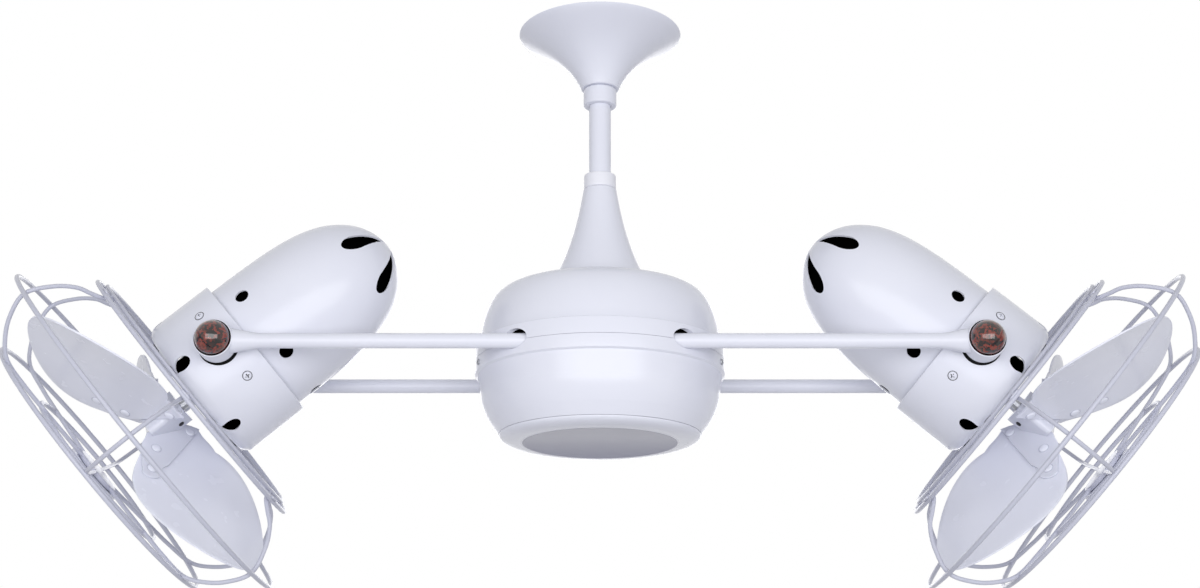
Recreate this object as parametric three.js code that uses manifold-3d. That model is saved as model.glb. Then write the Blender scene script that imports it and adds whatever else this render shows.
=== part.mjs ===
// Twin head ceiling fan, in millimetres, +Z up.
// The origin is the centre of the ceiling plate's top face. The arms run along X, and -Y is the front.
// Two fan heads tilt on the arms' eyes, and the housing with the arms turns round a fixed spindle.

import * as THREE from 'three';
import { mergeVertices } from 'three/addons/utils/BufferGeometryUtils.js';
import Module from 'manifold-3d';

const wasm = await Module();
wasm.setup();

// ---- Driving dimensions -------------------------------------------------------------------------

// Clearances
const FIT = 0.3; // between two pieces that touch or run on each other
const RUN = 1.0; // between the turning housing and the neck cone above it

// Facets
const BIG_SIDES = 24; // housing, canopy and neck cone
const HEAD_SIDES = 20; // collars and shells of the heads
const MID_SIDES = 16; // rods, bearings, hubs, eyes
const ARM_SIDES = 12; // arms, motors and other hidden round pieces
const SMALL_SIDES = 10; // studs, pins, bores
const WIRE_SIDES = 4; // cage wires
const VENT_SIDES = 8;
const RIVET_SIDES = 6;

// Ceiling plate and hanger
const PLATE_R = 58;
const PLATE_T = 2.5;
const WIRE_HOLE_R = 10;
const WIRE_HOLE_X = 40;
const BOLT_HOLE_R = 3;
const BOLT_HOLE_Y = 44;
const BALL_R = 19;
const BALL_Z = -27;
const SEAT_TOP = -32;
const SEAT_BOTTOM = -36;
const SEAT_RIM = 6;
const LEG_T = 3;
const LEG_W = 18;
const PIN_R = 2.5;

// Canopy: radius = TAIL + (RIM - TAIL) / (1 + (depth / HALF)^POWER)
const CANOPY_RIM = 80;
const CANOPY_TAIL = -5.66;
const CANOPY_HALF = 29.85;
const CANOPY_POWER = 1.45;
const CANOPY_DEPTH = 57.3;
const SHEET = 1.2; // wall of the canopy and of the neck cone

// Downrod and its collars
const ROD_R = 10.65;
const ROD_WALL = 1.85;
const ROD_TOP = -10;
const CANOPY_COLLAR_R = 16.1;
const CANOPY_COLLAR_H = 17.7;
const NECK_COLLAR_R = 15.5;
const NECK_COLLAR_TOP = -147.3;
const NECK_COLLAR_H = 14.4;
const EDGE = 1.2; // small chamfer on the turned collars

// Neck cone: radius = BASE + GAIN * exp(depth below its top / length), with FOOT_R at the foot
const CONE_BASE = 4.32;
const CONE_GAIN = 11.56;
const CONE_FOOT_R = 44.93;
const CONE_ABOVE = 80.4; // from the arms' line to the cone's foot

// Spindle
const SOCKET_R = 14.2;
const SOCKET_DEPTH = 18;
const SOCKET_FLOOR = 4;
const SPINDLE_R = 10;
const SPINDLE_BORE = 6;
const SPINDLE_BELOW = 48.2; // from the arms' line to the spindle's end
const NUT_R = 17;
const NUT_H = 8;

// Housing
const ARM_Z = -335.8;
const DOME_HOLE_R = 33;
const DOME_SHOULDER_ABOVE = 69.8; // heights here are from the arms' line
const DOME_MID_BELOW = 9.2; // where the dome's curve would stand upright
const DOME_ARC = [78, 18]; // degrees of that curve that are used
const DOME_INSIDE_ARC = [66, 30];
const DOME_WIDE = 34.54;
const DOME_POWER = 2.54;
const BAND_BEYOND = 29; // from the arms' line to the band
const DOME_INSET = 2.46; // from the band to the dome's widest place
const BAND_ABOVE = 15.8;
const BAND_BELOW = 12.2;
const BAND_GROOVE = 2.5;
const SEAM = 0.3;
const SHELL_T = 2; // wall of the housing shells
const SKIRT_T = 4; // the upper shell's skirt inside the band, which stands on the arm hub's web
const BOWL_INSET = 5.4; // from the band to the bowl
const BOWL_BELOW = 33.5;
const BOWL_DROP = 47.4;
const BOWL_WIDE = 34.4;
const BOWL_POWER = 1.46;
const CREASE_BELOW = 34.7; // under the bowl's top
const CREASE_INSET = 17.2; // from the bowl
const CAP_WIDTH = 21.4; // from the crease to the disc
const CAP_DROP = 7.2;
const CAP_T = 1.6;
const CAP_RIM_H = 6;
const DISC_LEDGE = 5;
const BAND_SCREW_R = 3;
const BAND_SCREW_HEAD = 1.2;
const BAND_SHANK_R = 1.8;
const BAND_SCREW_BELOW = 6.2;
const BAND_SCREW_AZIMUTH = 17.4; // degrees off the arms' direction

// Arms
const ARM_Y = 88;
const ARM_R = 6.85;
const ARM_BORE = 5;
const ARM_HOLE_R = 9.5; // hole in the housing round each arm
const ARM_INNER_X = 10;
const PIVOT_X = 343.5;
const EYE_R = 17.6;
const EYE_RIM = 1; // wall of the cup that the knob sits in
const EYE_BACK = 11.5; // from the arm's line to the eye's inner face
const EYE_FRONT = 11; // from the arm's line to the eye's outer face
const FLARE_R = 11.5;
const FLARE_LENGTH = 34;

// Arm hub inside the housing
const WEB_INSET = 5; // from the band
const WEB_T = 4;
const CLAMP_LENGTH = 32;
const CLAMP_HALF_W = 11;
const CLAMP_TOP = 5; // above the arm's top
const SLEEVE_R = 28;
const BEARING_R = 22;
const BEARING_H = 12;
const BEARING_LIP = 5;
const SLEEVE_ABOVE = 35.8;

// Slip ring, brushes and electrics
const DRUM_R = 20;
const DRUM_H = 22;
const BRUSH_GAP = 6; // from the sleeve's top to the drum
const BRUSH_T = 12;
const BRUSH_W = 16;
const CAPACITOR = [54, 28, 24];
const TERMINALS = [42, 22, 16];
const ELECTRICS_Y = 62;

// Fan heads. Along a head's own axis s runs from the pivot towards the blades
const TILT_REST = 40; // degrees below horizontal
const STUD_R = 5;
const STUD_IN_KNOB = 3; // past the knob's middle
const COLLAR_GAP = 3.7; // from the eyes
const COLLAR_REAR = -25;
const COLLAR_FRONT = 45;
const COLLAR_CORNER = 12;
const COLLAR_T = 1.6;
const COLLAR_LIP = 5.6;
const COLLAR_PIVOT_HOLE = 18.5;
const COLLAR_SHAFT_HOLE = 16;
const COLLAR_VENT_R = 6.5;
const COLLAR_VENT_TAIL = 15;
const COLLAR_VENT_AZIMUTH = 84;
const COLLAR_VENT_SINK = 1.3; // from the collar's side to the vents' middle
const COLLAR_VENT_BACK = 10.1; // from the collar's front to the vents' middle
const COLLAR_SCREW_S = -3;
const COLLAR_SCREW_R = 4.6;
const COLLAR_SCREW_OUT = 0.6;
const COLLAR_SCREW_SPREAD = 30; // degrees either side of each pivot
const BULLET_INSET = 6.34; // from the collar
const BULLET_MID = 20; // station where the bullet is widest
const BULLET_LENGTH = 202.4;
const BULLET_POWER_S = 5.04;
const BULLET_POWER_R = 1.86;
const BULLET_T = 1.6;
const BULLET_FRONT = -11;
const BULLET_VENT_S = -44;
const BULLET_VENT_R = 6.5;
const BULLET_VENT_AZIMUTH = 65;
const NOSE_SLOT_INSET = 13.46; // from the bullet's widest place
const NOSE_SLOT_INNER = 8;
const NOSE_SLOT_R = 8;
const NOSE_SLOT_DEPTH = 45;
const NOSE_SLOT_AZIMUTH = 20;
const VENTS = 6;

// Motor and the frame that carries it on the pivot studs
const MOTOR_INSET = 16.46; // from the bullet
const MOTOR_REAR = -72;
const MOTOR_FRONT = 24;
const MOTOR_EDGE = 6;
const SHAFT_R = 5;
const SHAFT_REAR = -60;
const MOTOR_BEARING_R = 13;
const MOTOR_BEARING_H = 8;
const FRAME_T = 5.7;
const FRAME_HALF_S = 10;
const BOSS_R = 10;
const PAD_R = 5;
const PAD_GAP = 1.3;

// Cage, as radius and station of each ring
const WIRE_R = 2.2;
const SPOKE_R = 1.8;
const RIB_R = 2;
const BACK_RING = [137, 49.3];
const HOOK_RING = [128.5, 45];
const MIDDLE_RING = [184.4, 101.5];
const FRONT_RING = [140.5, 153.5];
const INNER_RING = [80.7, 157.5];
const RIBS = 6;
const RIB_AZIMUTH = 46;
const RIB_SIDE = [[132.5, 52], [144, 58.2], [157, 64.5], [171, 79]]; // from the hook ring to the middle ring
const RIB_CORNER = [[173.5, 123], [159, 139.5]]; // on to the front ring
const RIB_COVER = [[110, 154.5]]; // on to the inner ring
const FOOT_R = 4;
const FOOT_CAP = 1;
const HUB_PLATE_R = 24;
const HUB_PLATE_T = 4.4;
const PLATE_S = 158; // station of the small plate where the ribs meet
const WELD_SINK = 1.6; // how far two welded wires sink into each other
const MEDALLION_R = 30.3;
const MEDALLION_T = 4;

// Blades, laid out by rho outwards from the shaft and tau across the blade
const BLADES = 3;
const BLADE_AZIMUTH = 52.1;
const BLADE_S = 100.7;
const BLADE_TIP = 167.8;
const BLADE_ROOT = 22;
const BLADE_HEEL = [[11.5, 20, 45.5], [16.5, -20, 46], [24, -31, 47], [33, -41, 51]]; // rows at the root, under the bracket
const BLADE_HALF_W = 64.3;
const BLADE_ARC = [138, 12]; // degrees of the petal's oval that are used
const BLADE_TAPER = -0.23;
const BLADE_SKEW = 7.6;
const BLADE_PITCH = -32.9;
const BLADE_TWIST = 9; // degrees in each 100 mm of rho
const BLADE_CONE = 8; // rise in each 100 mm of rho
const BLADE_CAMBER = 2.3;
const BLADE_T = 1.6;
const BLADE_SEAT = 0.6; // between a blade's facets and the bracket's
const BRACKET_T = 1.8;
const BRACKET_HUB_R = 13;
const BRACKET_HUB_REAR = 62;
const BRACKET_HUB_FRONT = 98;
const SHAFT_END = 6; // from the hub's front to the bottom of its bore
const BRACKET_EDGE = [[6, -15, 30], [15, -24, 45], [26, -33, 25], [38, -42, 2], [48, -44, -18], [54, -40, -28]];
const RIVETS = [[16.5, 32], [25, -15], [45, -33]];
const RIVET_R = 2.4;
const RIVET_HEAD_R = 4.6;
const RIVET_HEAD_T = 1.4;

// Knobs
const KNOB_R = 16;
const KNOB_OUT = 11.5; // from the arm's line to the knob's middle

// ---- Values worked out from the dimensions above ------------------------------------------------

const CANOPY_BOTTOM = -CANOPY_DEPTH;
const BAND_R = ARM_Y + BAND_BEYOND;
const BAND_TOP = ARM_Z + BAND_ABOVE;
const BAND_BOTTOM = ARM_Z - BAND_BELOW;
const BAND_SCREW_Z = ARM_Z - BAND_SCREW_BELOW;
const DOME_SHOULDER_Z = ARM_Z + DOME_SHOULDER_ABOVE;
const DOME_MID_Z = ARM_Z - DOME_MID_BELOW;
const BOWL_TOP = ARM_Z - BOWL_BELOW;
const SLEEVE_TOP = ARM_Z + SLEEVE_ABOVE;
const SPINDLE_END = ARM_Z - SPINDLE_BELOW;
const CONE_BOTTOM = ARM_Z + CONE_ABOVE;
const EYE_INNER_Y = ARM_Y - EYE_BACK;
const EYE_OUTER_Y = ARM_Y + EYE_FRONT;
const KNOB_Y = ARM_Y + KNOB_OUT;
const STUD_END = KNOB_Y + STUD_IN_KNOB;
const COLLAR_R = EYE_INNER_Y - COLLAR_GAP;
const BULLET_R = COLLAR_R - BULLET_INSET;
const MOTOR_R = BULLET_R - MOTOR_INSET;
const FRAME_R = MOTOR_R + FIT + FRAME_T;
const NOSE_SLOT_OUTER = BULLET_R - NOSE_SLOT_INSET;
const NECK_COLLAR_BOTTOM = NECK_COLLAR_TOP - NECK_COLLAR_H;
const CONE_TOP = NECK_COLLAR_BOTTOM - FIT;
const CONE_LENGTH = (CONE_TOP - CONE_BOTTOM) / Math.log((CONE_FOOT_R - CONE_BASE) / CONE_GAIN);
const SOCKET_TOP = CONE_TOP - SHEET - FIT;
const ROD_BOTTOM = SOCKET_TOP - SOCKET_DEPTH + FIT;
const SOCKET_BOTTOM = SOCKET_TOP - SOCKET_DEPTH - SOCKET_FLOOR;
const COUPLER_PIN_Z = SOCKET_TOP - SOCKET_DEPTH / 2;
const SKIRT_BOTTOM = BAND_BOTTOM + FIT;
const WEB_TOP = SKIRT_BOTTOM - FIT;
const DOME_R = BAND_R - DOME_INSET;
const DOME_SHOULDER_R = DOME_R - DOME_WIDE;
const WEB_R = BAND_R - WEB_INSET;
const BOWL_R = BAND_R - BOWL_INSET;
const CREASE_R = BOWL_R - CREASE_INSET;
const CREASE_Z = BOWL_TOP - CREASE_BELOW;
const DISC_R = CREASE_R - CAP_WIDTH;
const BOTTOM_Z = CREASE_Z - CAP_DROP;
const WEB_BOTTOM = WEB_TOP - WEB_T;
const SLEEVE_BOTTOM = WEB_BOTTOM - BEARING_H;
const NUT_TOP = SLEEVE_BOTTOM - FIT;
const DRUM_BOTTOM = SLEEVE_TOP + BRUSH_GAP;
const CAP_TOP = CREASE_Z - FIT;
const STUD_BASE = FRAME_R - 2;
const BACK_FRAME_S = BACK_RING[1];
const BEARING_FRONT = MOTOR_FRONT + FIT + MOTOR_BEARING_H;

// ---- Materials ----------------------------------------------------------------------------------

const finish = (color, roughness, metalness) => new THREE.MeshStandardMaterial({ color, roughness, metalness });
const GLOSS_WHITE = [0xe6e7f0, 0.22, 0.0];
const SATIN_WHITE = [0xdcdde8, 0.35, 0.0];
const DISC_GREY = [0xb4b6c4, 0.4, 0.0];
const STEEL = [0xb9bbc0, 0.35, 1.0];
const BRASS = [0xc8a35a, 0.35, 1.0];
const BLACK_PLASTIC = [0x1c1c1e, 0.5, 0.0];
const MOTOR_GREY = [0x55585e, 0.5, 0.6];
const RED_STONE = [0x6e2a24, 0.15, 0.0];

// ---- Solids -------------------------------------------------------------------------------------

const RAD = Math.PI / 180;

/** Six times the signed volume of an indexed closed mesh. */
function signedVolume(geometry) {
  const position = geometry.getAttribute('position');
  const corner = [new THREE.Vector3(), new THREE.Vector3(), new THREE.Vector3()];
  let volume = 0;
  for (let i = 0; i < geometry.index.count; i += 3) {
    corner.forEach((point, k) => point.fromBufferAttribute(position, geometry.index.getX(i + k)));
    volume += corner[0].dot(corner[1].clone().cross(corner[2]));
  }
  return volume;
}

/** A copy with positions only, shared vertices merged, no collapsed faces, and faces pointing out. */
function closed(geometry) {
  const source = geometry.index ? geometry.toNonIndexed() : geometry;
  const bare = new THREE.BufferGeometry();
  bare.setAttribute('position', source.getAttribute('position').clone());
  const merged = mergeVertices(bare, 1e-3);
  let index = [];
  for (let i = 0; i < merged.index.count; i += 3) {
    const [a, b, c] = [0, 1, 2].map((k) => merged.index.getX(i + k));
    if (a !== b && b !== c && c !== a) index.push(a, b, c);
  }
  merged.setIndex(index);
  if (signedVolume(merged) < 0) {
    index = index.map((_, i) => index[i - (i % 3) + (2 - (i % 3))]);
    merged.setIndex(index);
  }
  return merged;
}

/** A boolean solid of a closed geometry. */
function solid(geometry) {
  const mesh = closed(geometry);
  return new wasm.Manifold(new wasm.Mesh({
    numProp: 3,
    vertProperties: Float32Array.from(mesh.getAttribute('position').array),
    triVerts: Uint32Array.from(mesh.index.array),
  }));
}

/** The geometry of a boolean solid. */
function geometryOf(body) {
  const mesh = body.getMesh();
  const geometry = new THREE.BufferGeometry();
  geometry.setAttribute('position', new THREE.BufferAttribute(Float32Array.from(mesh.vertProperties), 3));
  geometry.setIndex(Array.from(mesh.triVerts));
  return geometry;
}

const joined = (bodies) => bodies.reduce((sum, body) => sum.add(body));
const cutBy = (body, tools) => tools.reduce((rest, tool) => rest.subtract(tool), body);

/** A turned solid about Z from [radius, z] points that start and end on the axis or close up. */
function turned(points, sides = BIG_SIDES) {
  const profile = points.map(([radius, z]) => new THREE.Vector2(radius, z));
  return solid(new THREE.LatheGeometry(profile, sides).rotateX(Math.PI / 2));
}

/** A solid between an outer and an inner profile, each listed in the same direction. */
const shellBetween = (outer, inner, sides) => turned([...outer, ...[...inner].reverse(), outer[0]], sides);

/** A ring about Z with a rectangular section. */
const ring = (inner, outer, low, high, sides = MID_SIDES) => shellBetween(
  [[outer, low], [outer, high]],
  [[inner, low], [inner, high]],
  sides,
);

/** A round bar between two points, or a cone when the second radius differs. */
function bar(from, to, radius, sides = SMALL_SIDES, endRadius = radius) {
  const start = new THREE.Vector3(...from);
  const run = new THREE.Vector3(...to).sub(start);
  const geometry = new THREE.CylinderGeometry(endRadius, radius, run.length(), sides);
  geometry.translate(0, run.length() / 2, 0);
  geometry.applyQuaternion(new THREE.Quaternion().setFromUnitVectors(new THREE.Vector3(0, 1, 0), run.normalize()));
  return solid(geometry.translate(...start));
}

/** A box between two opposite corners. */
function block(low, high) {
  const size = high.map((value, i) => value - low[i]);
  const centre = high.map((value, i) => (value + low[i]) / 2);
  return solid(new THREE.BoxGeometry(...size).translate(...centre));
}

/** A closed ring of wire about Z, with a corner of its polygon at the given azimuth. */
const hoop = ([radius, z], wire, sides, azimuth = 0) => solid(
  new THREE.TorusGeometry(radius, wire, WIRE_SIDES, sides).rotateZ(azimuth * RAD).translate(0, 0, z),
);

/** A curve whose steps fall on its own points. */
class StepCurve extends THREE.CatmullRomCurve3 {
  getUtoTmapping(share) {
    return share;
  }
}

/** A wire through points, with a corner of its path at each of them. */
function wireThrough(points, radius) {
  const section = new THREE.Shape(azimuths(WIRE_SIDES, 0).map((turn) => new THREE.Vector2(...polar(radius, turn, 0))));
  const extrudePath = new StepCurve(points, false, 'centripetal');
  return solid(new THREE.ExtrudeGeometry(section, { steps: points.length - 1, extrudePath }));
}

/** A point on a head or housing: distance from the axis, azimuth in degrees, height along the axis. */
function polar(radius, azimuth, height) {
  return [radius * Math.cos(azimuth * RAD), radius * Math.sin(azimuth * RAD), height];
}

const azimuths = (count, first) => Array.from({ length: count }, (_, k) => first + (360 / count) * k);
const spread = (count, from, to) => Array.from({ length: count }, (_, i) => from + ((to - from) * i) / (count - 1));

/** A prism of a drop outline: a round end of the given radius at the origin and a point at -X. */
function dropPrism(radius, tail, depth) {
  const lean = Math.acos(radius / tail);
  const outline = new THREE.Shape();
  outline.moveTo(-tail, 0);
  outline.absarc(0, 0, radius, -(Math.PI - lean), Math.PI - lean, false);
  return new THREE.ExtrudeGeometry(outline, { depth, bevelEnabled: false, curveSegments: 2 });
}

// ---- Ceiling plate, hanger and canopy -----------------------------------------------------------

function ceilingBracket() {
  const ballRadiusAt = (z) => Math.sqrt(BALL_R ** 2 - (z - BALL_Z) ** 2) + FIT + 0.1;
  const seatOuter = BALL_R + SEAT_RIM;
  const plate = bar([0, 0, -PLATE_T], [0, 0, 0], PLATE_R, BIG_SIDES);
  const seat = shellBetween(
    [[seatOuter, SEAT_BOTTOM], [seatOuter, SEAT_TOP]],
    [[ballRadiusAt(SEAT_BOTTOM), SEAT_BOTTOM], [ballRadiusAt(SEAT_TOP), SEAT_TOP]],
    MID_SIDES,
  );
  const legs = [-1, 1].map((side) => {
    const faces = [side * (seatOuter - LEG_T), side * seatOuter].sort((a, b) => a - b);
    return block([faces[0], -LEG_W / 2, SEAT_BOTTOM], [faces[1], LEG_W / 2, -PLATE_T / 2]);
  });
  const holes = [-1, 1].flatMap((side) => [
    bar([side * WIRE_HOLE_X, 0, -PLATE_T - 1], [side * WIRE_HOLE_X, 0, 1], WIRE_HOLE_R),
    bar([0, side * BOLT_HOLE_Y, -PLATE_T - 1], [0, side * BOLT_HOLE_Y, 1], BOLT_HOLE_R),
  ]);
  return cutBy(joined([plate, seat, ...legs]), holes);
}

/** Radius of the canopy's outside at a depth below the ceiling. */
function canopyRadius(depth) {
  return CANOPY_TAIL + (CANOPY_RIM - CANOPY_TAIL) / (1 + (depth / CANOPY_HALF) ** CANOPY_POWER);
}

function canopy() {
  const depths = [0, 5, 12, 21, 32, 44, CANOPY_DEPTH];
  const outer = depths.map((depth) => [canopyRadius(depth), -depth]);
  const inner = depths.map((depth) => [canopyRadius(depth) - SHEET * 1.2, -depth]);
  const floor = -CANOPY_DEPTH + SHEET;
  inner.push([canopyRadius(CANOPY_DEPTH) - SHEET, floor], [ROD_R + 2 * FIT, floor], [ROD_R + 2 * FIT, -CANOPY_DEPTH]);
  return shellBetween(outer, inner, BIG_SIDES);
}

/** A turned collar on the downrod with chamfered outer edges. */
function rodCollar(radius, top, height) {
  const bottom = top - height;
  return shellBetween(
    [[radius - EDGE, bottom], [radius, bottom + EDGE], [radius, top - EDGE], [radius - EDGE, top]],
    [[ROD_R + FIT, bottom], [ROD_R + FIT, top]],
    MID_SIDES,
  );
}

function hangerBall() {
  const ball = solid(new THREE.SphereGeometry(BALL_R, ARM_SIDES, 6).rotateX(Math.PI / 2).translate(0, 0, BALL_Z));
  const bore = bar([0, 0, BALL_Z - 2 * BALL_R], [0, 0, BALL_Z + 2 * BALL_R], ROD_R + FIT, MID_SIDES);
  return cutBy(ball, [bore, crossPin(BALL_Z, PIN_R + FIT, 2 * BALL_R, 'y')]);
}

/** A pin or a pin hole across the rod at a height. */
function crossPin(z, radius, half, along) {
  const ends = along === 'y' ? [[0, -half, z], [0, half, z]] : [[-half, 0, z], [half, 0, z]];
  return bar(...ends, radius, RIVET_SIDES);
}

const hangerPin = () => crossPin(BALL_Z, PIN_R, BALL_R - 1.5, 'y');
const couplerPin = () => crossPin(COUPLER_PIN_Z, PIN_R, SOCKET_R, 'x');

function downrod() {
  const tube = ring(ROD_R - ROD_WALL, ROD_R, ROD_BOTTOM, ROD_TOP);
  const pinHole = PIN_R + FIT;
  return cutBy(tube, [
    crossPin(BALL_Z, pinHole, 2 * ROD_R, 'y'),
    crossPin(COUPLER_PIN_Z, pinHole, 2 * ROD_R, 'x'),
  ]);
}

// ---- Neck cone and spindle ----------------------------------------------------------------------

const coneRadius = (z) => CONE_BASE + CONE_GAIN * Math.exp((CONE_TOP - z) / CONE_LENGTH);

function neckCone() {
  const outer = spread(6, CONE_TOP, CONE_BOTTOM).map((z) => [coneRadius(z), z]);
  const inner = spread(4, CONE_TOP, CONE_BOTTOM).slice(1).map((z) => [coneRadius(z) - SHEET, z]);
  const lid = CONE_TOP - SHEET;
  inner.unshift([ROD_R + FIT, CONE_TOP], [ROD_R + FIT, lid], [coneRadius(lid) - SHEET, lid]);
  return shellBetween(outer, inner, BIG_SIDES);
}

/** The fixed spindle: a socket for the downrod, and a hollow shaft that carries the bearings. */
function spindle() {
  const body = turned([
    [SPINDLE_BORE, SPINDLE_END], [SPINDLE_R, SPINDLE_END], [SPINDLE_R, SOCKET_BOTTOM], [SOCKET_R, SOCKET_BOTTOM],
    [SOCKET_R, SOCKET_TOP], [ROD_R + FIT, SOCKET_TOP], [ROD_R + FIT, SOCKET_TOP - SOCKET_DEPTH],
    [SPINDLE_BORE, SOCKET_TOP - SOCKET_DEPTH], [SPINDLE_BORE, SPINDLE_END],
  ], MID_SIDES);
  return body.subtract(crossPin(COUPLER_PIN_Z, PIN_R + FIT, 2 * SOCKET_R, 'x'));
}

function spindleNut() {
  const hexagon = bar([0, 0, NUT_TOP - NUT_H], [0, 0, NUT_TOP], NUT_R, 6);
  return hexagon.subtract(bar([0, 0, NUT_TOP - NUT_H - 1], [0, 0, NUT_TOP + 1], SPINDLE_R + FIT, MID_SIDES));
}

const slipRingDrum = () => ring(SPINDLE_R + FIT, DRUM_R, DRUM_BOTTOM, DRUM_BOTTOM + DRUM_H);

// ---- Turning housing ----------------------------------------------------------------------------

/** Points on a rounded quarter from radius - wide to radius, between two heights. */
function quarter(radius, wide, base, rise, power, from, to, count) {
  return spread(count, from, to).map((angle) => [
    radius - wide + wide * Math.cos(angle * RAD) ** (2 / power),
    base + rise * Math.sin(angle * RAD) ** (2 / power),
  ]);
}

/** Holes round the four arms where they enter the housing. */
const armHoles = () => [-1, 1].flatMap((sideX) => [-1, 1].map((sideY) => bar(
  [sideX * ARM_INNER_X, sideY * ARM_Y, ARM_Z],
  [sideX * 2 * BAND_R, sideY * ARM_Y, ARM_Z],
  ARM_HOLE_R,
  ARM_SIDES,
)));

/** Azimuths of the four screws that hold the band on the skirt. */
const bandScrewAzimuths = () => [-1, 1].flatMap((side) => [
  side * BAND_SCREW_AZIMUTH,
  180 - side * BAND_SCREW_AZIMUTH,
]);

function upperHousing() {
  const domeRise = DOME_SHOULDER_Z - DOME_MID_Z;
  const neckZ = CONE_BOTTOM - RUN;
  const curve = quarter(DOME_R, DOME_WIDE, DOME_MID_Z, domeRise, DOME_POWER, ...DOME_ARC, 5);
  const outer = [
    [DOME_HOLE_R, neckZ], [coneRadius(CONE_BOTTOM), neckZ], [DOME_SHOULDER_R, DOME_SHOULDER_Z], ...curve,
    [DOME_R - 0.6, BAND_TOP], [BAND_R, BAND_TOP], [BAND_R, ARM_Z + SEAM / 2],
  ];
  const insideCurve = quarter(DOME_R - SHELL_T, DOME_WIDE, DOME_MID_Z, domeRise - SHELL_T, DOME_POWER, ...DOME_INSIDE_ARC, 2);
  const skirtR = BAND_R - SHELL_T - FIT;
  const inner = [
    [DOME_HOLE_R, neckZ - SHELL_T], [coneRadius(CONE_BOTTOM), neckZ - SHELL_T],
    [DOME_SHOULDER_R - SHELL_T, DOME_SHOULDER_Z - SHELL_T], ...insideCurve,
    [skirtR - SKIRT_T, BAND_TOP - SHELL_T], [skirtR - SKIRT_T, SKIRT_BOTTOM], [skirtR, SKIRT_BOTTOM],
    [skirtR, ARM_Z + SEAM / 2],
  ];
  return cutBy(shellBetween(outer, inner, BIG_SIDES), armHoles());
}

/** One band screw: a shank in the band, its tip at the skirt, and a low head outside. */
function bandScrew(azimuth) {
  const along = (from, to, radius, endRadius) => bar(
    polar(from, azimuth, BAND_SCREW_Z),
    polar(to, azimuth, BAND_SCREW_Z),
    radius,
    RIVET_SIDES,
    endRadius,
  );
  const tip = BAND_R - SHELL_T;
  return along(tip, BAND_R + 2 * FIT, BAND_SHANK_R).add(
    along(BAND_R + FIT, BAND_R + FIT + BAND_SCREW_HEAD, BAND_SCREW_R, BAND_SCREW_R * 0.7),
  );
}

function lowerHousing() {
  const bowl = quarter(BOWL_R, BOWL_WIDE, BOWL_TOP, -BOWL_DROP, BOWL_POWER, 0, 38, 3);
  const grooveR = BAND_R - BAND_GROOVE;
  const outer = [
    [BAND_R, ARM_Z - SEAM / 2], [BAND_R, BAND_BOTTOM], [grooveR, BAND_BOTTOM - 1.5], [grooveR, BAND_BOTTOM - 4],
    ...bowl, [CREASE_R, CREASE_Z],
  ];
  const bandInner = BAND_R - SHELL_T;
  const ledgeTop = WEB_BOTTOM - FIT;
  const ledgeR = WEB_R - 4;
  const inside = quarter(BOWL_R - SHELL_T, BOWL_WIDE, BOWL_TOP, -BOWL_DROP + SHELL_T, BOWL_POWER, 0, 36, 2);
  const inner = [
    [bandInner, ARM_Z - SEAM / 2], [bandInner, BAND_BOTTOM], [WEB_R + FIT, BAND_BOTTOM - 2], [WEB_R + FIT, ledgeTop],
    [ledgeR, ledgeTop], [ledgeR, ledgeTop - 3], ...inside, [CREASE_R - 3.4, CREASE_Z + 1.6],
    [CREASE_R - 3.4, CREASE_Z],
  ];
  const screwHoles = bandScrewAzimuths().map((azimuth) => bar(
    polar(bandInner - SHELL_T / 2, azimuth, BAND_SCREW_Z),
    polar(BAND_R + SHELL_T, azimuth, BAND_SCREW_Z),
    BAND_SHANK_R + FIT,
    RIVET_SIDES,
  ));
  return cutBy(shellBetween(outer, inner, BIG_SIDES), [...armHoles(), ...screwHoles]);
}

/** The bottom cap: a dished ring that snaps into the bowl and holds the flat disc. */
function bottomCap() {
  const rimOuter = CREASE_R - 3.4 - FIT;
  const drop = CAP_TOP - BOTTOM_Z;
  const curve = quarter(CREASE_R - 0.4, CREASE_R - 0.4 - DISC_R, CAP_TOP, -drop, 2, 0, 90, 4);
  const ledgeTop = BOTTOM_Z + 2 * CAP_T + FIT;
  return turned([
    [rimOuter, CAP_TOP + CAP_RIM_H], [rimOuter, CAP_TOP], ...curve, [DISC_R, BOTTOM_Z + CAP_T + FIT],
    [DISC_R - DISC_LEDGE, BOTTOM_Z + CAP_T + FIT], [DISC_R - DISC_LEDGE, ledgeTop],
    [rimOuter - 8, ledgeTop], [rimOuter - CAP_T, CAP_TOP], [rimOuter - CAP_T, CAP_TOP + CAP_RIM_H],
    [rimOuter, CAP_TOP + CAP_RIM_H],
  ]);
}

const bottomDisc = () => bar([0, 0, BOTTOM_Z], [0, 0, BOTTOM_Z + CAP_T], DISC_R - FIT, BIG_SIDES);

// ---- Arm hub, bearings and electrics ------------------------------------------------------------

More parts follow.
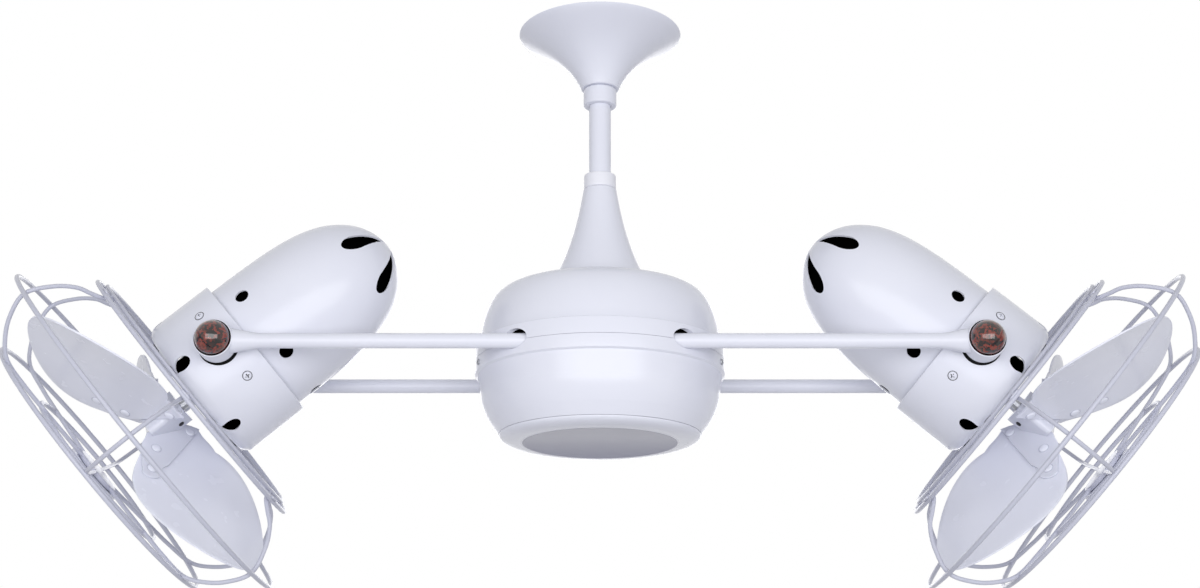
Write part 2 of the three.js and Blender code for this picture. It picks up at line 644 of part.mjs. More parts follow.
/** The casting that holds the arms: a web, a bearing sleeve and four clamps. */
function armHub() {
  const web = bar([0, 0, WEB_BOTTOM], [0, 0, WEB_TOP], WEB_R, BIG_SIDES);
  const sleeve = bar([0, 0, SLEEVE_BOTTOM], [0, 0, SLEEVE_TOP], SLEEVE_R, MID_SIDES);
  const clamps = [-1, 1].flatMap((sideX) => [-1, 1].map((sideY) => {
    const xs = [sideX * ARM_INNER_X, sideX * (ARM_INNER_X + CLAMP_LENGTH)].sort((a, b) => a - b);
    const ys = [sideY * (ARM_Y - CLAMP_HALF_W), sideY * (ARM_Y + CLAMP_HALF_W)].sort((a, b) => a - b);
    return block([xs[0], ys[0], WEB_TOP - 1], [xs[1], ys[1], ARM_Z + ARM_R + CLAMP_TOP]);
  }));
  const bores = [-1, 1].map((side) => bar(
    [-2 * WEB_R, side * ARM_Y, ARM_Z],
    [2 * WEB_R, side * ARM_Y, ARM_Z],
    ARM_R + FIT,
    ARM_SIDES,
  ));
  const pocket = BEARING_H + FIT;
  const bearingSeats = [
    bar([0, 0, SLEEVE_TOP - pocket], [0, 0, SLEEVE_TOP + 1], BEARING_R + FIT, MID_SIDES),
    bar([0, 0, SLEEVE_BOTTOM - 1], [0, 0, SLEEVE_BOTTOM + pocket], BEARING_R + FIT, MID_SIDES),
    bar([0, 0, SLEEVE_BOTTOM - 1], [0, 0, SLEEVE_TOP + 1], BEARING_R - BEARING_LIP, MID_SIDES),
  ];
  return cutBy(joined([web, sleeve, ...clamps]), [...bores, ...bearingSeats]);
}

const upperBearing = () => ring(SPINDLE_R + FIT, BEARING_R, SLEEVE_TOP - BEARING_H, SLEEVE_TOP);
const lowerBearing = () => ring(SPINDLE_R + FIT, BEARING_R, SLEEVE_BOTTOM, SLEEVE_BOTTOM + BEARING_H);

/** The brush holder stands on the sleeve and reaches the slip ring drum. */
function brushHolder() {
  const face = DRUM_R + 2 * FIT;
  const foot = SLEEVE_TOP + FIT;
  return block([face, -BRUSH_W / 2, DRUM_BOTTOM], [face + BRUSH_T, BRUSH_W / 2, DRUM_BOTTOM + DRUM_H])
    .add(block([BEARING_R + 1, -BRUSH_W / 2, foot], [face + BRUSH_T, BRUSH_W / 2, DRUM_BOTTOM + 1]));
}

/** A box that hangs under the web at a place along Y. */
function underWeb([length, width, height], y) {
  const top = WEB_BOTTOM - FIT;
  return block([-length / 2, y - width / 2, top - height], [length / 2, y + width / 2, top]);
}

// ---- Arms and knobs -----------------------------------------------------------------------------

/** One arm: a straight tube with a flared end and an eye that takes the pivot stud and the knob. */
function arm(sideX, sideY) {
  const y = sideY * ARM_Y;
  const tube = bar([sideX * ARM_INNER_X, y, ARM_Z], [sideX * (PIVOT_X - EYE_R / 2), y, ARM_Z], ARM_R, ARM_SIDES);
  const flare = bar(
    [sideX * (PIVOT_X - EYE_R / 2 - FLARE_LENGTH), y, ARM_Z],
    [sideX * (PIVOT_X - EYE_R / 2), y, ARM_Z],
    ARM_R,
    ARM_SIDES,
    FLARE_R,
  );
  const acrossEye = (from, to, radius, sides) => bar(
    [sideX * PIVOT_X, sideY * from, ARM_Z],
    [sideX * PIVOT_X, sideY * to, ARM_Z],
    radius,
    sides,
  );
  const eye = acrossEye(EYE_INNER_Y, EYE_OUTER_Y, EYE_R, MID_SIDES);
  const recess = acrossEye(KNOB_Y - KNOB_R - FIT, EYE_OUTER_Y + 1, EYE_R - EYE_RIM, MID_SIDES);
  const bore = bar(
    [sideX * (ARM_INNER_X - 1), y, ARM_Z],
    [sideX * (PIVOT_X - EYE_R - 2), y, ARM_Z],
    ARM_BORE,
    RIVET_SIDES,
  );
  const studHole = acrossEye(EYE_INNER_Y - 1, EYE_OUTER_Y, STUD_R + FIT, SMALL_SIDES);
  return cutBy(joined([tube, flare, eye]), [bore, studHole, recess]);
}

/** A stone ball with a blind hole for the pivot stud. */
function knob(sideX, sideY) {
  const ball = new THREE.SphereGeometry(KNOB_R, 12, 8).translate(sideX * PIVOT_X, sideY * KNOB_Y, ARM_Z);
  const hole = bar(
    [sideX * PIVOT_X, sideY * (KNOB_Y - 2 * KNOB_R), ARM_Z],
    [sideX * PIVOT_X, sideY * (STUD_END + 1), ARM_Z],
    STUD_R + FIT,
  );
  return solid(ball).subtract(hole);
}

// ---- Fan heads, in each head's own frame: Z is the station s, and Y points to a pivot -----------

/** The collar: a cup that is open at the rear, with corner vents, pivot holes and screw heads. */
function headCollar() {
  const corner = (radius, count) => spread(count, 0, 90).map((angle) => [
    COLLAR_R - COLLAR_CORNER + radius * Math.cos(angle * RAD),
    COLLAR_FRONT - COLLAR_CORNER + radius * Math.sin(angle * RAD),
  ]);
  const outer = [
    [COLLAR_R - COLLAR_LIP, COLLAR_REAR], [COLLAR_R - 1.8, COLLAR_REAR], [COLLAR_R, COLLAR_REAR + 1.8],
    ...corner(COLLAR_CORNER, 4), [COLLAR_SHAFT_HOLE, COLLAR_FRONT],
  ];
  const inner = [
    [COLLAR_R - COLLAR_LIP, COLLAR_REAR + COLLAR_T], [COLLAR_R - COLLAR_T, COLLAR_REAR + COLLAR_T + 0.5],
    ...corner(COLLAR_CORNER - COLLAR_T, 3), [COLLAR_SHAFT_HOLE, COLLAR_FRONT - COLLAR_T],
  ];
  const screwHeads = padAzimuths().map((azimuth) => bar(
    polar(COLLAR_R - COLLAR_T / 2, azimuth, COLLAR_SCREW_S),
    polar(COLLAR_R + COLLAR_SCREW_OUT, azimuth, COLLAR_SCREW_S),
    COLLAR_SCREW_R,
    RIVET_SIDES,
  ));
  const pivotHole = bar([0, -2 * COLLAR_R, 0], [0, 2 * COLLAR_R, 0], COLLAR_PIVOT_HOLE, MID_SIDES);
  const vents = azimuths(VENTS, COLLAR_VENT_AZIMUTH).map((azimuth) => solid(
    dropPrism(COLLAR_VENT_R, COLLAR_VENT_TAIL, 2 * COLLAR_CORNER)
      .translate(0, 0, -COLLAR_CORNER)
      .rotateY(Math.PI / 4)
      .translate(COLLAR_R - COLLAR_VENT_SINK, 0, COLLAR_FRONT - COLLAR_VENT_BACK)
      .rotateZ(azimuth * RAD),
  ));
  return cutBy(joined([shellBetween(outer, inner, HEAD_SIDES), ...screwHeads]), [pivotHole, ...vents]);
}

/** Azimuths of the four screws that hold the collar on the motor frame. */
const padAzimuths = () => [90, 270].flatMap((pivot) => [pivot - COLLAR_SCREW_SPREAD, pivot + COLLAR_SCREW_SPREAD]);

/** Radius of the bullet shell at a station, with its wall taken off for the inside. */
function bulletRadius(s, wall = 0) {
  const reach = Math.min(1, (BULLET_MID - s) / (BULLET_LENGTH - wall));
  return (BULLET_R - wall) * (1 - reach ** BULLET_POWER_S) ** (1 / BULLET_POWER_R);
}

function motorShell() {
  const nose = BULLET_MID - BULLET_LENGTH;
  const steps = [0, 0.42, 0.66, 0.82, 0.92, 0.98, 1];
  const outer = steps.map((share) => BULLET_FRONT + (nose - BULLET_FRONT) * share).map((s) => [bulletRadius(s), s]);
  const insideNose = nose + BULLET_T;
  const insideFront = BULLET_FRONT - BULLET_T;
  const inner = [0, 0.55, 0.85, 1].map((share) => insideFront + (insideNose - insideFront) * share)
    .map((s) => [bulletRadius(s, BULLET_T), s]);
  inner.unshift([FRAME_R - 3, BULLET_FRONT], [FRAME_R - 3, insideFront]);
  outer[outer.length - 1][0] = 0;
  inner[inner.length - 1][0] = 0;
  const vents = azimuths(VENTS, BULLET_VENT_AZIMUTH).map((azimuth) => bar(
    polar(BULLET_R - 15, azimuth, BULLET_VENT_S),
    polar(BULLET_R + 15, azimuth, BULLET_VENT_S),
    BULLET_VENT_R,
    VENT_SIDES,
  ));
  const slotTail = NOSE_SLOT_OUTER - NOSE_SLOT_R - NOSE_SLOT_INNER;
  const slots = azimuths(VENTS, NOSE_SLOT_AZIMUTH).map((azimuth) => solid(
    dropPrism(NOSE_SLOT_R, slotTail, NOSE_SLOT_DEPTH)
      .translate(NOSE_SLOT_OUTER - NOSE_SLOT_R, 0, nose - 1)
      .rotateZ(azimuth * RAD),
  ));
  const shell = turned([...outer, ...inner.reverse(), outer[0]], HEAD_SIDES);
  return cutBy(shell, [...vents, ...slots]);
}

function motor() {
  const body = turned([
    [0, MOTOR_REAR], [MOTOR_R - MOTOR_EDGE, MOTOR_REAR], [MOTOR_R, MOTOR_REAR + MOTOR_EDGE],
    [MOTOR_R, MOTOR_FRONT - MOTOR_EDGE], [MOTOR_R - MOTOR_EDGE, MOTOR_FRONT], [0, MOTOR_FRONT],
  ], ARM_SIDES);
  return body.subtract(bar([0, 0, SHAFT_REAR - FIT], [0, 0, MOTOR_FRONT + 1], SHAFT_R + FIT));
}

const motorBearing = () => ring(SHAFT_R + FIT, MOTOR_BEARING_R, MOTOR_FRONT + FIT, BEARING_FRONT, SMALL_SIDES);

/** The frame that grips the motor, with two pivot studs and four pads for the collar. */
function pivotFrame() {
  const band = ring(MOTOR_R + FIT, FRAME_R, -FRAME_HALF_S, FRAME_HALF_S, ARM_SIDES);
  const studs = [-1, 1].flatMap((side) => [
    bar([0, side * STUD_BASE, 0], [0, side * (EYE_INNER_Y - FIT), 0], BOSS_R),
    bar([0, side * STUD_BASE, 0], [0, side * STUD_END, 0], STUD_R),
  ]);
  const pads = padAzimuths().map((azimuth) => bar(
    polar(STUD_BASE, azimuth, COLLAR_SCREW_S),
    polar(COLLAR_R - COLLAR_T - PAD_GAP, azimuth, COLLAR_SCREW_S),
    PAD_R,
    RIVET_SIDES,
  ));
  return joined([band, ...studs, ...pads]);
}

// ---- Cage ---------------------------------------------------------------------------------------

/** The back frame: a ring on six spokes whose feet stand on the collar's front. */
function backFrame() {
  const footR = COLLAR_R - COLLAR_CORNER - FOOT_R;
  const spokes = azimuths(RIBS, RIB_AZIMUTH + 180 / RIBS).flatMap((azimuth) => [
    bar(polar(footR, azimuth, BACK_FRAME_S), polar(BACK_RING[0], azimuth, BACK_FRAME_S), SPOKE_R, WIRE_SIDES),
    bar(
      polar(footR, azimuth, COLLAR_FRONT + FIT),
      polar(footR, azimuth, BACK_FRAME_S + SPOKE_R + FOOT_CAP),
      FOOT_R,
      RIVET_SIDES,
    ),
  ]);
  return joined([hoop(BACK_RING, WIRE_R, 20), ...spokes]);
}

/** One rib of the front cage, from the hook ring round the blades to the plate at the centre. */
function rib(azimuth) {
  const [middleR, middleS] = MIDDLE_RING;
  const [frontR, frontS] = FRONT_RING;
  const [innerR, innerS] = INNER_RING;
  const weld = RIB_R + WIRE_R - WELD_SINK;
  const profile = [
    HOOK_RING, ...RIB_SIDE, [middleR - weld, middleS], ...RIB_CORNER, [frontR, frontS - weld],
    ...RIB_COVER, [innerR, innerS - weld + 1], [HUB_PLATE_R - 4, PLATE_S],
  ];
  return wireThrough(profile.map(([radius, s]) => new THREE.Vector3(...polar(radius, azimuth, s))), RIB_R);
}

function frontCage() {
  const back = PLATE_S - HUB_PLATE_T / 2;
  const plate = bar([0, 0, back], [0, 0, back + HUB_PLATE_T], HUB_PLATE_R, MID_SIDES);
  return joined([
    plate,
    ...azimuths(RIBS, RIB_AZIMUTH).map(rib),
    hoop(HOOK_RING, RIB_R, 18, RIB_AZIMUTH),
    hoop(MIDDLE_RING, WIRE_R, 24),
    hoop(FRONT_RING, WIRE_R, 18, RIB_AZIMUTH),
    hoop(INNER_RING, WIRE_R, 12, RIB_AZIMUTH),
  ]);
}

function medallion() {
  const back = PLATE_S + HUB_PLATE_T / 2 + FIT;
  return turned([
    [0, back], [MEDALLION_R - 1, back], [MEDALLION_R, back + 1], [MEDALLION_R, back + MEDALLION_T - 2],
    [MEDALLION_R - 2, back + MEDALLION_T - 0.4], [0, back + MEDALLION_T],
  ], MID_SIDES);
}

// ---- Rotor --------------------------------------------------------------------------------------

/** A point of the blade surface, and the direction square to it. */
function bladeSurface(rho, tau) {
  const pitch = (BLADE_PITCH + BLADE_TWIST * (rho - 100) / 100) * RAD;
  const rise = BLADE_CONE * (rho - 100) / 100 + BLADE_CAMBER * (tau / BLADE_HALF_W) ** 2;
  const point = new THREE.Vector3(rho, tau * Math.cos(pitch), BLADE_S + tau * Math.sin(pitch) + rise);
  return { point, normal: new THREE.Vector3(0, -Math.sin(pitch), Math.cos(pitch)) };
}

/** A bent sheet over rows of [rho, low tau, high tau], as a closed grid between two offsets. */
function bentSheet(rows, columns, back, front) {
  const cornersAt = (offset) => rows.map(([rho, low, high]) => spread(columns, low, high).map((tau) => {
    const { point, normal } = bladeSurface(rho, tau);
    return point.addScaledVector(normal, offset);
  }));
  const layers = [cornersAt(back), cornersAt(front)];
  const triangles = [];
  const face = (a, b, c, d) => triangles.push(a, b, c, a, c, d);
  for (let i = 0; i + 1 < rows.length; i += 1) {
    for (let j = 0; j + 1 < columns; j += 1) {
      const quad = (layer) => [layer[i][j], layer[i + 1][j], layer[i + 1][j + 1], layer[i][j + 1]];
      face(...quad(layers[1]));
      face(...quad(layers[0]).reverse());
    }
    for (const j of [0, columns - 1]) {
      const side = [layers[0][i][j], layers[0][i + 1][j], layers[1][i + 1][j], layers[1][i][j]];
      face(...(j === 0 ? side : side.reverse()));
    }
  }
  for (const i of [0, rows.length - 1]) {
    for (let j = 0; j + 1 < columns; j += 1) {
      const end = [layers[0][i][j], layers[1][i][j], layers[1][i][j + 1], layers[0][i][j + 1]];
      face(...(i === 0 ? end : end.reverse()));
    }
  }
  const geometry = new THREE.BufferGeometry().setFromPoints(triangles);
  return solid(geometry);
}

/** Rows across one petal-shaped blade. */
function bladeRows() {
  const petal = spread(7, ...BLADE_ARC).map((angle) => {
    const turn = Math.cos(angle * RAD);
    const half = BLADE_HALF_W * Math.sin(angle * RAD) * (1 + BLADE_TAPER * turn);
    const rho = (BLADE_TIP + BLADE_ROOT) / 2 + (BLADE_TIP - BLADE_ROOT) / 2 * turn;
    const shift = BLADE_SKEW * (rho - BLADE_ROOT) / (BLADE_TIP - BLADE_ROOT);
    return [rho, shift - half, shift + half];
  });
  return [...BLADE_HEEL, ...petal];
}

/** A round bar square to the blade at a place on it, between two offsets. */
function acrossBlade([rho, tau], from, to, radius, sides = RIVET_SIDES) {
  const { point, normal } = bladeSurface(rho, tau);
  const at = (offset) => point.clone().addScaledVector(normal, offset).toArray();
  return bar(at(from), at(to), radius, sides);
}

const turnedBy = (body, azimuth) => body.rotate([0, 0, azimuth]);

function blade(azimuth) {
  const sheet = bentSheet(bladeRows(), 5, -BLADE_T / 2, BLADE_T / 2);
  const holes = RIVETS.map((place) => acrossBlade(place, -5, 5, RIVET_R + 2 * FIT));
  return turnedBy(cutBy(sheet, holes), azimuth);
}

/** The blade bracket: a hub on the shaft, three bent plates behind the blades, and the rivets. */
function bladeBracket() {
  const hub = bar([0, 0, BRACKET_HUB_REAR], [0, 0, BRACKET_HUB_FRONT], BRACKET_HUB_R, ARM_SIDES);
  const plateFront = -BLADE_T / 2 - BLADE_SEAT;
  const plateBack = plateFront - BRACKET_T;
  const headBase = BLADE_T / 2 + BLADE_SEAT;
  const plate = joined([
    bentSheet(BRACKET_EDGE, 4, plateBack, plateFront),
    ...RIVETS.flatMap((place) => [
      acrossBlade(place, plateFront - 1, headBase + RIVET_HEAD_T / 2, RIVET_R, 4),
      acrossBlade(place, headBase, headBase + RIVET_HEAD_T, RIVET_HEAD_R),
    ]),
  ]);
  const arms = azimuths(BLADES, BLADE_AZIMUTH).map((azimuth) => turnedBy(plate, azimuth));
  const bore = bar([0, 0, BRACKET_HUB_REAR - 1], [0, 0, BRACKET_HUB_FRONT - SHAFT_END], SHAFT_R + FIT);
  return joined([hub, ...arms]).subtract(bore);
}

const motorShaft = () => bar([0, 0, SHAFT_REAR], [0, 0, BRACKET_HUB_FRONT - SHAFT_END - FIT], SHAFT_R);

// ---- Assembly -----------------------------------------------------------------------------------

const fan = new THREE.Group();

/** Adds one named piece to a group. */
function place(group, name, body, look) {
  const mesh = new THREE.Mesh(body.isBufferGeometry ? body : geometryOf(body), finish(...look));
  mesh.name = name;
  group.add(mesh);
}

place(fan, 'ceiling_bracket', ceilingBracket(), STEEL);
place(fan, 'canopy', canopy(), GLOSS_WHITE);
place(fan, 'canopy_collar', rodCollar(CANOPY_COLLAR_R, CANOPY_BOTTOM - FIT, CANOPY_COLLAR_H), GLOSS_WHITE);
place(fan, 'hanger_ball', hangerBall(), BLACK_PLASTIC);
place(fan, 'hanger_pin', hangerPin(), STEEL);
place(fan, 'downrod', downrod(), GLOSS_WHITE);
place(fan, 'neck_collar', rodCollar(NECK_COLLAR_R, NECK_COLLAR_TOP, NECK_COLLAR_H), SATIN_WHITE);
place(fan, 'neck_cone', neckCone(), GLOSS_WHITE);
place(fan, 'spindle', spindle(), STEEL);
place(fan, 'coupler_pin', couplerPin(), STEEL);
place(fan, 'spindle_nut', spindleNut(), STEEL);
place(fan, 'slip_ring_drum', slipRingDrum(), BRASS);

place(fan, 'upper_housing', upperHousing(), GLOSS_WHITE);
place(fan, 'lower_housing', lowerHousing(), GLOSS_WHITE);
place(fan, 'bottom_cap', bottomCap(), GLOSS_WHITE);
place(fan, 'bottom_disc', bottomDisc(), DISC_GREY);
place(fan, 'arm_hub', armHub(), STEEL);
place(fan, 'upper_bearing', upperBearing(), STEEL);
place(fan, 'lower_bearing', lowerBearing(), STEEL);
place(fan, 'brush_holder', brushHolder(), BLACK_PLASTIC);
place(fan, 'run_capacitor', underWeb(CAPACITOR, ELECTRICS_Y), BLACK_PLASTIC);
place(fan, 'terminal_block', underWeb(TERMINALS, -ELECTRICS_Y), BLACK_PLASTIC);
bandScrewAzimuths().forEach((azimuth, k) => place(fan, `band_screw_${k + 1}`, bandScrew(azimuth), STEEL));

const SIDES = [['left', -1], ['right', 1]];
const ENDS = [['front', -1], ['rear', 1]];
for (const [side, sideX] of SIDES) {
  for (const [end, sideY] of ENDS) {
    place(fan, `${side}_${end}_arm`, arm(sideX, sideY), GLOSS_WHITE);
    place(fan, `${side}_${end}_knob`, knob(sideX, sideY), RED_STONE);
  }
}

const HEAD_PIECES = [
  ['head_collar', headCollar(), GLOSS_WHITE],
  ['motor_shell', motorShell(), GLOSS_WHITE],
  ['motor', motor(), MOTOR_GREY],
  ['motor_bearing', motorBearing(), STEEL],
  ['pivot_frame', pivotFrame(), STEEL],
  ['back_frame', backFrame(), GLOSS_WHITE],
  ['front_cage', frontCage(), GLOSS_WHITE],
  ['medallion', medallion(), GLOSS_WHITE],
  ['motor_shaft', motorShaft(), STEEL],
  ['blade_bracket', bladeBracket(), GLOSS_WHITE],
  ...azimuths(BLADES, BLADE_AZIMUTH).map((azimuth, k) => [`blade_${k + 1}`, blade(azimuth), GLOSS_WHITE]),
];

/** A head's frame: X is up and outwards, Z points to the blades, and the left head mirrors the right. */
function headGroup(sideX) {
  const tilt = TILT_REST * RAD;
  const up = new THREE.Vector3(sideX * Math.sin(tilt), 0, Math.cos(tilt));
  const out = new THREE.Vector3(sideX * Math.cos(tilt), 0, -Math.sin(tilt));
  const group = new THREE.Group();
  group.position.set(sideX * PIVOT_X, 0, ARM_Z);
  group.setRotationFromMatrix(new THREE.Matrix4().makeBasis(up, out.clone().cross(up), out));
  return group;
}

for (const [side, sideX] of SIDES) {
  const group = headGroup(sideX);
  for (const [name, body, look] of HEAD_PIECES) {
    place(group, `${side}_${name}`, sideX > 0 ? body : body.mirror([0, 1, 0]), look);
  }
  fan.add(group);
}

export default fan;
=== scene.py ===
"""Looks of a twin head ceiling fan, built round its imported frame.

Lengths are in millimetres until a mesh is made, and the fan hangs from the origin with +Z up.
Its arms run along X and the front is -Y. A head's own frame has X up and outwards, Y to the front
and Z from its pivot towards the blades; the left head is the mirror image of the right one.
"""

import logging
import math
from dataclasses import dataclass, field
from enum import Enum
from typing import Callable, ClassVar, Iterable, Protocol, Sequence

import bmesh
import bpy
from mathutils import Matrix, Vector


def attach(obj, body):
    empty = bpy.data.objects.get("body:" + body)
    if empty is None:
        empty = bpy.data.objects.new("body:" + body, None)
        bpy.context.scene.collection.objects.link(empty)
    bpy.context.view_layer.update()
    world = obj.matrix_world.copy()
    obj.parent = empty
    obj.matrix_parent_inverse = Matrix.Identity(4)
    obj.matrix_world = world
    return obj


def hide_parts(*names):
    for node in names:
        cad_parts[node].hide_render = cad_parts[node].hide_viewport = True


log = logging.getLogger("fan")

MM = 0.001
SHARP = math.radians(32)  # edges that turn more are shaded as edges
BEVELLED = math.radians(50)  # edges that turn more are bevelled
ROUNDED = math.radians(24)  # corners of a profile that turn less stay as they are
WELD = 2e-6  # metres between points that are one
ON_AXIS = 1e-6  # millimetres from the axis that count as on it
SIDES = 128  # facets of a large turned piece
FIT = 0.3  # clearance between pieces that touch

Pair = tuple[float, float]
Profile = list[Pair]
Row = tuple[float, float, float]
Colour = tuple[float, float, float, float]
WHITE: Colour = (1.0, 1.0, 1.0, 1.0)


# ---- Shader maths --------------------------------------------------------------------------------


def linear(code: str) -> Colour:
    """Returns the scene colour of a hex code such as "e2e4f0"."""
    shares = [int(code[i : i + 2], 16) / 255 for i in (0, 2, 4)]
    red, green, blue = [
        share / 12.92 if share <= 0.04045 else ((share + 0.055) / 1.055) ** 2.4
        for share in shares
    ]
    return red, green, blue, 1.0


class Signal:
    """A number that varies over a surface. Sums and products of it add Math nodes."""

    def __init__(self, net: "Net", socket: bpy.types.NodeSocket) -> None:
        """Keeps the socket and the net it belongs to."""
        self.net = net
        self.socket = socket

    def _joined(self, operation: str, first: object, second: object) -> "Signal":
        """Adds one Math node.

        Args:
            operation: the node's operation.
            first: a signal or a number.
            second: a signal or a number.

        Returns:
            The node's result.
        """
        node = self.net.node(
            "ShaderNodeMath", {"operation": operation}, {0: first, 1: second}
        )
        return Signal(self.net, node.outputs[0])

    def __add__(self, other: object) -> "Signal":
        """Returns the sum."""
        return self._joined("ADD", self, other)

    def __radd__(self, other: object) -> "Signal":
        """Returns the sum with a number on the left."""
        return self._joined("ADD", other, self)

    def __sub__(self, other: object) -> "Signal":
        """Returns the difference."""
        return self._joined("SUBTRACT", self, other)

    def __rsub__(self, other: object) -> "Signal":
        """Returns the difference from a number on the left."""
        return self._joined("SUBTRACT", other, self)

    def __mul__(self, other: object) -> "Signal":
        """Returns the product."""
        return self._joined("MULTIPLY", self, other)

    def __rmul__(self, other: object) -> "Signal":
        """Returns the product with a number on the left."""
        return self._joined("MULTIPLY", other, self)

    def __or__(self, other: object) -> "Signal":
        """Returns the larger one: of two masks, what either of them covers."""
        return self._joined("MAXIMUM", self, other)

    def __ror__(self, other: object) -> "Signal":
        """Returns the larger one, with a number on the left."""
        return self._joined("MAXIMUM", other, self)


class Net:
    """The node tree of a material or of the world."""

    def __init__(self, owner: bpy.types.ID) -> None:
        """Starts an empty tree.

        Args:
            owner: the material or world that the tree belongs to.
        """
        self.owner = owner
        owner.use_nodes = True
        self.tree = owner.node_tree
        self.tree.nodes.clear()

    def node(
        self,
        kind: str,
        settings: dict[str, object] | None = None,
        inputs: dict[str | int, object] | None = None,
    ) -> bpy.types.Node:
        """Adds a node.

        Args:
            kind: the node's type.
            settings: its properties, set first; "stops" holds a ramp's places and colours.
            inputs: values, sockets or signals for its sockets.

        Returns:
            The node.
        """
        made = self.tree.nodes.new(kind)
        for key, value in (settings or {}).items():
            if key == "stops":
                self._set_stops(made.color_ramp, value)
            else:
                setattr(made, key, value)
        for key, value in (inputs or {}).items():
            if isinstance(value, Signal):
                value = value.socket
            if isinstance(value, bpy.types.NodeSocket):
                self.tree.links.new(value, made.inputs[key])
            else:
                made.inputs[key].default_value = value
        return made

    @staticmethod
    def _set_stops(ramp: bpy.types.ColorRamp, stops: Sequence[tuple[float, Colour]]) -> None:
        """Gives a ramp its places and colours.

        Args:
            ramp: the ramp of a node.
            stops: place and colour of each stop, in order.
        """
        while len(ramp.elements) < len(stops):
            ramp.elements.new(1.0)
        for element, (place, colour) in zip(ramp.elements, stops):
            element.position = place
            element.color = colour

    def place(self) -> bpy.types.NodeSocket:
        """Returns the surface point in the object's own frame."""
        return self.node("ShaderNodeTexCoord").outputs["Object"]

    def noise(self, scale: float, detail: float = 2.0) -> Signal:
        """Returns a noise of the given scale per metre."""
        node = self.node(
            "ShaderNodeTexNoise",
            {"noise_dimensions": "3D"},
            {"Vector": self.place(), "Scale": scale, "Detail": detail},
        )
        return Signal(self, node.outputs[0])

    def mixed(self, share: Signal, first: Colour, second: Colour) -> bpy.types.NodeSocket:
        """Returns a colour between two, by a share."""
        node = self.node(
            "ShaderNodeMix", {"data_type": "RGBA"}, {0: share, 6: first, 7: second}
        )
        return node.outputs[2]

    def bump(self, height: Signal, strength: float, depth: float) -> bpy.types.NodeSocket:
        """Returns a normal that follows a height.

        Args:
            height: the height signal.
            strength: share of the effect.
            depth: depth in metres.
        """
        node = self.node(
            "ShaderNodeBump", {}, {"Strength": strength, "Distance": depth, "Height": height}
        )
        return node.outputs[0]

    def seen(self) -> Signal:
        """Returns 1 for what the camera, a reflection or glass sees, and 0 for plain light."""
        rays = self.node("ShaderNodeLightPath").outputs
        camera, glossy, through = (
            Signal(self, rays[f"Is {kind} Ray"]) for kind in ("Camera", "Glossy", "Transmission")
        )
        return camera | glossy | through

    def close(self, inputs: dict[str | int, object]) -> bpy.types.Material:
        """Adds the surface shader and the output.

        Args:
            inputs: values and links of the shader's sockets.

        Returns:
            The finished material.
        """
        shader = self.node("ShaderNodeBsdfPrincipled", {}, inputs)
        self.node("ShaderNodeOutputMaterial", {}, {0: shader.outputs[0]})
        return self.owner


# ---- Finishes ------------------------------------------------------------------------------------


class Coating(Protocol):
    """What every finish can do."""

    def material(self, name: str) -> bpy.types.Material:
        """Returns a new material of this finish."""


@dataclass(frozen=True)
class Enamel:
    """Sprayed and baked enamel on metal: slight cloudiness, fine orange peel, a clear gloss."""

    colour: str
    cloud: str
    roughness: float = 0.2
    gloss: float = 0.35
    peel: float = 0.015
    peel_scale: float = 420.0
    peel_depth: float = 0.0002
    cloud_scale: float = 14.0
    wear: float = 0.05
    wear_scale: float = 60.0

    def material(self, name: str) -> bpy.types.Material:
        """Returns a new material of this finish."""
        net = Net(bpy.data.materials.new(name))
        cloud = net.noise(self.cloud_scale, 3.0)
        return net.close(
            {
                "Base Color": net.mixed(cloud, linear(self.colour), linear(self.cloud)),
                "Roughness": self.roughness + self.wear * net.noise(self.wear_scale),
                "Specular IOR Level": self.gloss,
                "Normal": net.bump(net.noise(self.peel_scale), self.peel, self.peel_depth),
            }
        )


@dataclass(frozen=True)
class Stone:
    """Polished speckled stone: grains of red, brown and black with a few pale flecks."""

    dark: str
    brown: str
    red: str
    fleck: str
    grain: float = 420.0
    fine_grain: float = 700.0
    warp: float = 0.004
    warp_scale: float = 260.0
    polish: float = 0.07
    wear: float = 0.05
    wear_scale: float = 300.0
    lacquer: float = 0.6

    def material(self, name: str) -> bpy.types.Material:
        """Returns a new material of this finish."""
        net = Net(bpy.data.materials.new(name))
        push = net.node(
            "ShaderNodeTexNoise", {}, {"Vector": net.place(), "Scale": self.warp_scale}
        ).outputs[1]
        warped = net.node(
            "ShaderNodeVectorMath",
            {"operation": "MULTIPLY_ADD"},
            {0: push, 1: (self.warp, self.warp, self.warp), 2: net.place()},
        ).outputs[0]
        cells = net.node(
            "ShaderNodeTexVoronoi", {}, {"Vector": warped, "Scale": self.grain}
        ).outputs["Color"]
        pick = Signal(net, net.node("ShaderNodeSeparateColor", {}, {0: cells}).outputs[0])
        colour = net.node(
            "ShaderNodeValToRGB",
            {
                "stops": [
                    (0.0, linear(self.dark)),
                    (0.34, linear(self.dark)),
                    (0.46, linear(self.brown)),
                    (0.70, linear(self.red)),
                    (0.93, linear(self.red)),
                    (1.0, linear(self.fleck)),
                ]
            },
            {0: 0.75 * pick + 0.25 * net.noise(self.fine_grain)},
        ).outputs[0]
        return net.close(
            {
                "Base Color": colour,
                "Roughness": self.polish + self.wear * net.noise(self.wear_scale),
                "Coat Weight": self.lacquer,
            }
        )


